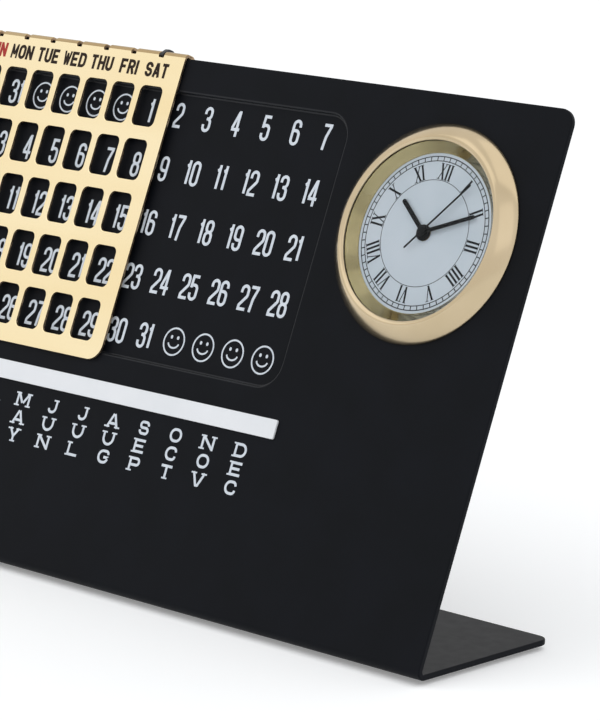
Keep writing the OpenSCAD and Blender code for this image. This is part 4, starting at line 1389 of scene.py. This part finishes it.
        def taper(points: np.ndarray) -> np.ndarray:
            """Draws the rim in towards the rear, and sets the disc behind the case."""
            rim = np.linalg.norm(points[:, :2], axis=1) > 14
            share = 1 - rim * self.back_taper * (1 - points[:, 2] / thick) / self.back_r
            return np.column_stack([points[:, :2] * share[:, None], points[:, 2] + self.back_low])

        return joined([skin.shape().mapped(taper), self.ring(*self.skirt, (0.15, 0.15), 144)])

    def case(self) -> Shape:
        """The case's tube with its inner flange."""
        return lathe(rounded([(self.case_in_r, self.case_low, 0.1), (self.case_r, self.case_low, 1.0),
                              (self.case_r, -2.05, 0.1), (15.6, -2.05, 0), (15.6, 0.05, 0),
                              (self.case_in_r, 0.05, 0)]))

    def keeper_ring(self) -> Shape:
        """The rubber ring that holds the clock from behind, with rounded shoulders and a fine groove."""
        inner, outer, low, high = self.keeper
        return lathe(rounded([(inner, low, 0.2), (outer - 0.3, low, 0.3), (outer, low + 0.4, 0.3),
                              (outer, -2.3, 0.05), (outer - 0.15, -2.2, 0.05), (outer - 0.15, -2.0, 0.05),
                              (outer, -1.9, 0.05), (outer, high, 0.1), (inner, high, 0.1)]))

    def build(self) -> None:
        """Makes the shells and prints, and dresses the dial and the hands."""
        low, high = self.dial_z - INK_UNDER / 2, self.dial_z + INK_OVER / 2
        prints = inked(self.numerals() + self.track(), low, high)
        rows = [("domed_bezel", self.bezel(), "polished_gold", POLISHED_GOLD, ["clock_bezel"]),
                ("cone_reflector", self.reflector(), "reflector_gold", SPUN_GOLD, ["reflector_ring"]),
                ("flat_crystal", self.glass(), "crystal_glass", CRYSTAL, ["crystal"]),
                ("case_tube", self.case(), "case_brass", CASE_BRASS, ["clock_case"]),
                ("rubber_keeper", self.keeper_ring(), "ring_rubber", RING_RUBBER, ["retaining_ring"])]
        for name, shape, slot, finish, nodes in rows:
            piece(name, self.placed(shape), Body.STAND, slot, [finish], nodes)
        hubs = [("hour_hand_collar", self.ring(*self.hour_collar), Body.HOUR_HAND),
                ("minute_hand_collar", self.ring(*self.minute_collar), Body.MINUTE_HAND),
                ("second_hand_cap", self.cap(), Body.SECOND_HAND)]
        for name, shape, body in hubs:
            piece(name, self.placed(shape), body, "hand_black", [HAND_LACQUER])
        piece("dial_prints", self.placed(prints), Body.STAND, "dial_white", [BLACK_INK], smooth=False)
        piece("case_back_disc", self.placed(self.back()), Body.STAND, "black_plastic",
              [BLACK_ABS], ["case_back"])
        dress(DIAL_ENAMEL, "dial")
        dress(BLACK_ABS, "setting_crown")
        dress(HAND_LACQUER, "hour_hand", "minute_hand", "second_hand")


@dataclass
class Movement:
    """The quartz movement inside the case, whose pieces keep the frame's shapes."""

    def build(self) -> None:
        """Dresses each piece by what it is made of."""
        dress(WHITE_ACETAL, "movement_ring", "step_wheel")
        dress(MOVEMENT_BRASS, "main_plate", "hour_wheel", "cannon_pinion", "minute_wheel", "center_wheel",
              "third_wheel", "seconds_wheel", "cell_contact")
        dress(MOVEMENT_STEEL, "train_bridge", "bridge_screws", "stator", "coil_core")
        dress(COIL_COPPER, "coil")
        dress(CELL_NICKEL, "button_cell", "quartz_can")
        dress(BOARD_GREEN, "circuit_board")


@dataclass(frozen=True)
class SoftBox:
    """A square studio lamp.

    Args:
        name: of the lamp.
        position: in metres.
        size: of its sides in metres.
        power: in watts.
    """

    name: str
    position: tuple[float, float, float]
    size: float
    power: float

    def place(self) -> None:
        """Adds the lamp, turned towards the middle of the object."""
        lamp = bpy.data.lights.new(self.name, "AREA")
        lamp.shape, lamp.size, lamp.energy = "SQUARE", self.size, self.power
        holder = bpy.data.objects.new(self.name, lamp)
        holder.location = self.position
        holder.rotation_euler = (Vector((0, 0, 0.045)) - holder.location).to_track_quat("-Z", "Y").to_euler()
        bpy.context.scene.collection.objects.link(holder)


@dataclass
class Studio:
    """The pale floor, the soft light and the camera."""

    lamps: tuple[SoftBox, ...] = (
        SoftBox("left_softbox", (-0.35, -0.5, 1.0), 0.9, 1.0),
        SoftBox("right_softbox", (0.8, -0.5, 0.7), 0.7, 0.3),
        SoftBox("top_softbox", (0.3, 0.3, 1.1), 1.0, 1.0),
    )
    world: float = 0.95
    glow: float = 0.22
    lens: float = 175.79
    position: tuple[float, float, float] = (0.421163, -0.419763, 0.158587)
    yaw: float = 43.094
    pitch: float = 11.421
    roll: float = -1.189

    def seen(self, tree: bpy.types.NodeTree) -> bpy.types.NodeSocket:
        """1 for rays that see or mirror the studio or look through glass, and 0 for light that it gives."""
        path = add(tree, "LightPath").outputs
        larger = {"operation": "MAXIMUM"}
        mirrored = add(tree, "Math", larger, {0: path["Is Camera Ray"], 1: path["Is Glossy Ray"]})
        return add(tree, "Math", larger, {0: mirrored.outputs[0], 1: path["Is Transmission Ray"]}).outputs[0]

    def backdrop(self) -> None:
        """A world that lights evenly, and is white where it is seen or mirrored."""
        world = bpy.data.worlds.new("studio")
        world.use_nodes = True
        bpy.context.scene.world = world
        tree = world.node_tree
        tree.nodes.clear()
        seen = self.seen(tree)
        even = add(tree, "Background", {"Color": linear("#f4f6f8"), "Strength": self.world})
        white = add(tree, "Background", {"Color": (1, 1, 1, 1), "Strength": 1.0})
        both = add(tree, "MixShader", None, {0: seen, 1: even.outputs[0], 2: white.outputs[0]})
        add(tree, "OutputWorld", None, {"Surface": both.outputs[0]})

    def floor(self) -> None:
        """A large pale floor that takes the object's shadow."""
        mesh = bpy.data.meshes.new("studio_floor")
        side = 6.0
        corners = [(-side, -side, 0), (side, -side, 0), (side, side, 0), (-side, side, 0)]
        mesh.from_pydata(corners, [], [(0, 1, 2, 3)])
        floor = bpy.data.objects.new("studio_floor", mesh)
        bpy.context.scene.collection.objects.link(floor)
        paper = bpy.data.materials.new("white_studio_paper")
        paper.use_nodes = True
        tree = paper.node_tree
        tree.nodes.clear()
        level = add(tree, "Math", {"operation": "MULTIPLY", 1: self.glow}, {0: self.seen(tree)})
        matt = add(tree, "BsdfDiffuse", {"Color": linear("#f2f2f2")})
        glow = add(tree, "Emission", {"Color": (1, 1, 1, 1)}, {"Strength": level.outputs[0]})
        both = add(tree, "AddShader", None, {0: matt.outputs[0], 1: glow.outputs[0]})
        add(tree, "OutputMaterial", None, {"Surface": both.outputs[0]})
        mesh.materials.append(paper)

    def camera(self) -> None:
        """The camera, by its turn, tilt and roll and the length of its lens."""
        yaw, pitch, roll = map(math.radians, (self.yaw, self.pitch, self.roll))
        ahead = Vector((-math.sin(yaw) * math.cos(pitch), math.cos(yaw) * math.cos(pitch), -math.sin(pitch)))
        level = Vector((math.cos(yaw), math.sin(yaw), 0))
        down = ahead.cross(level)
        right = math.cos(roll) * level + math.sin(roll) * down
        up = math.sin(roll) * level - math.cos(roll) * down
        data = bpy.data.cameras.new("photo_camera")
        data.lens, data.sensor_width, data.clip_start, data.clip_end = self.lens, 36.0, 0.01, 20.0
        camera = bpy.data.objects.new("photo_camera", data)
        turn = Matrix((right, up, -ahead)).transposed().to_4x4()
        camera.matrix_world = Matrix.Translation(self.position) @ turn
        bpy.context.scene.collection.objects.link(camera)
        bpy.context.scene.camera = camera

    def build(self) -> None:
        """Sets the stage."""
        bpy.context.scene.view_settings.view_transform = "Standard"
        self.backdrop()
        self.floor()
        self.camera()
        for lamp in self.lamps:
            lamp.place()


def main() -> None:
    """Builds the classes in order."""
    logging.basicConfig(level=logging.INFO, format="%(name)s: %(message)s")
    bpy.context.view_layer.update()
    turns = {joint["name"]: joint for joint in frame["joints"]}
    face = FaceFrame.of_joint(turns["minute_turn"], Clock.y, MINUTE_TURN_OUT)
    Stand(face=face).build()
    DayFrame(face).build()
    MonthMarker(face).build()
    Clock(face).build()
    Movement().build()
    Studio().build()
    bpy.context.view_layer.update()


if __name__ == "__main__":
    main()
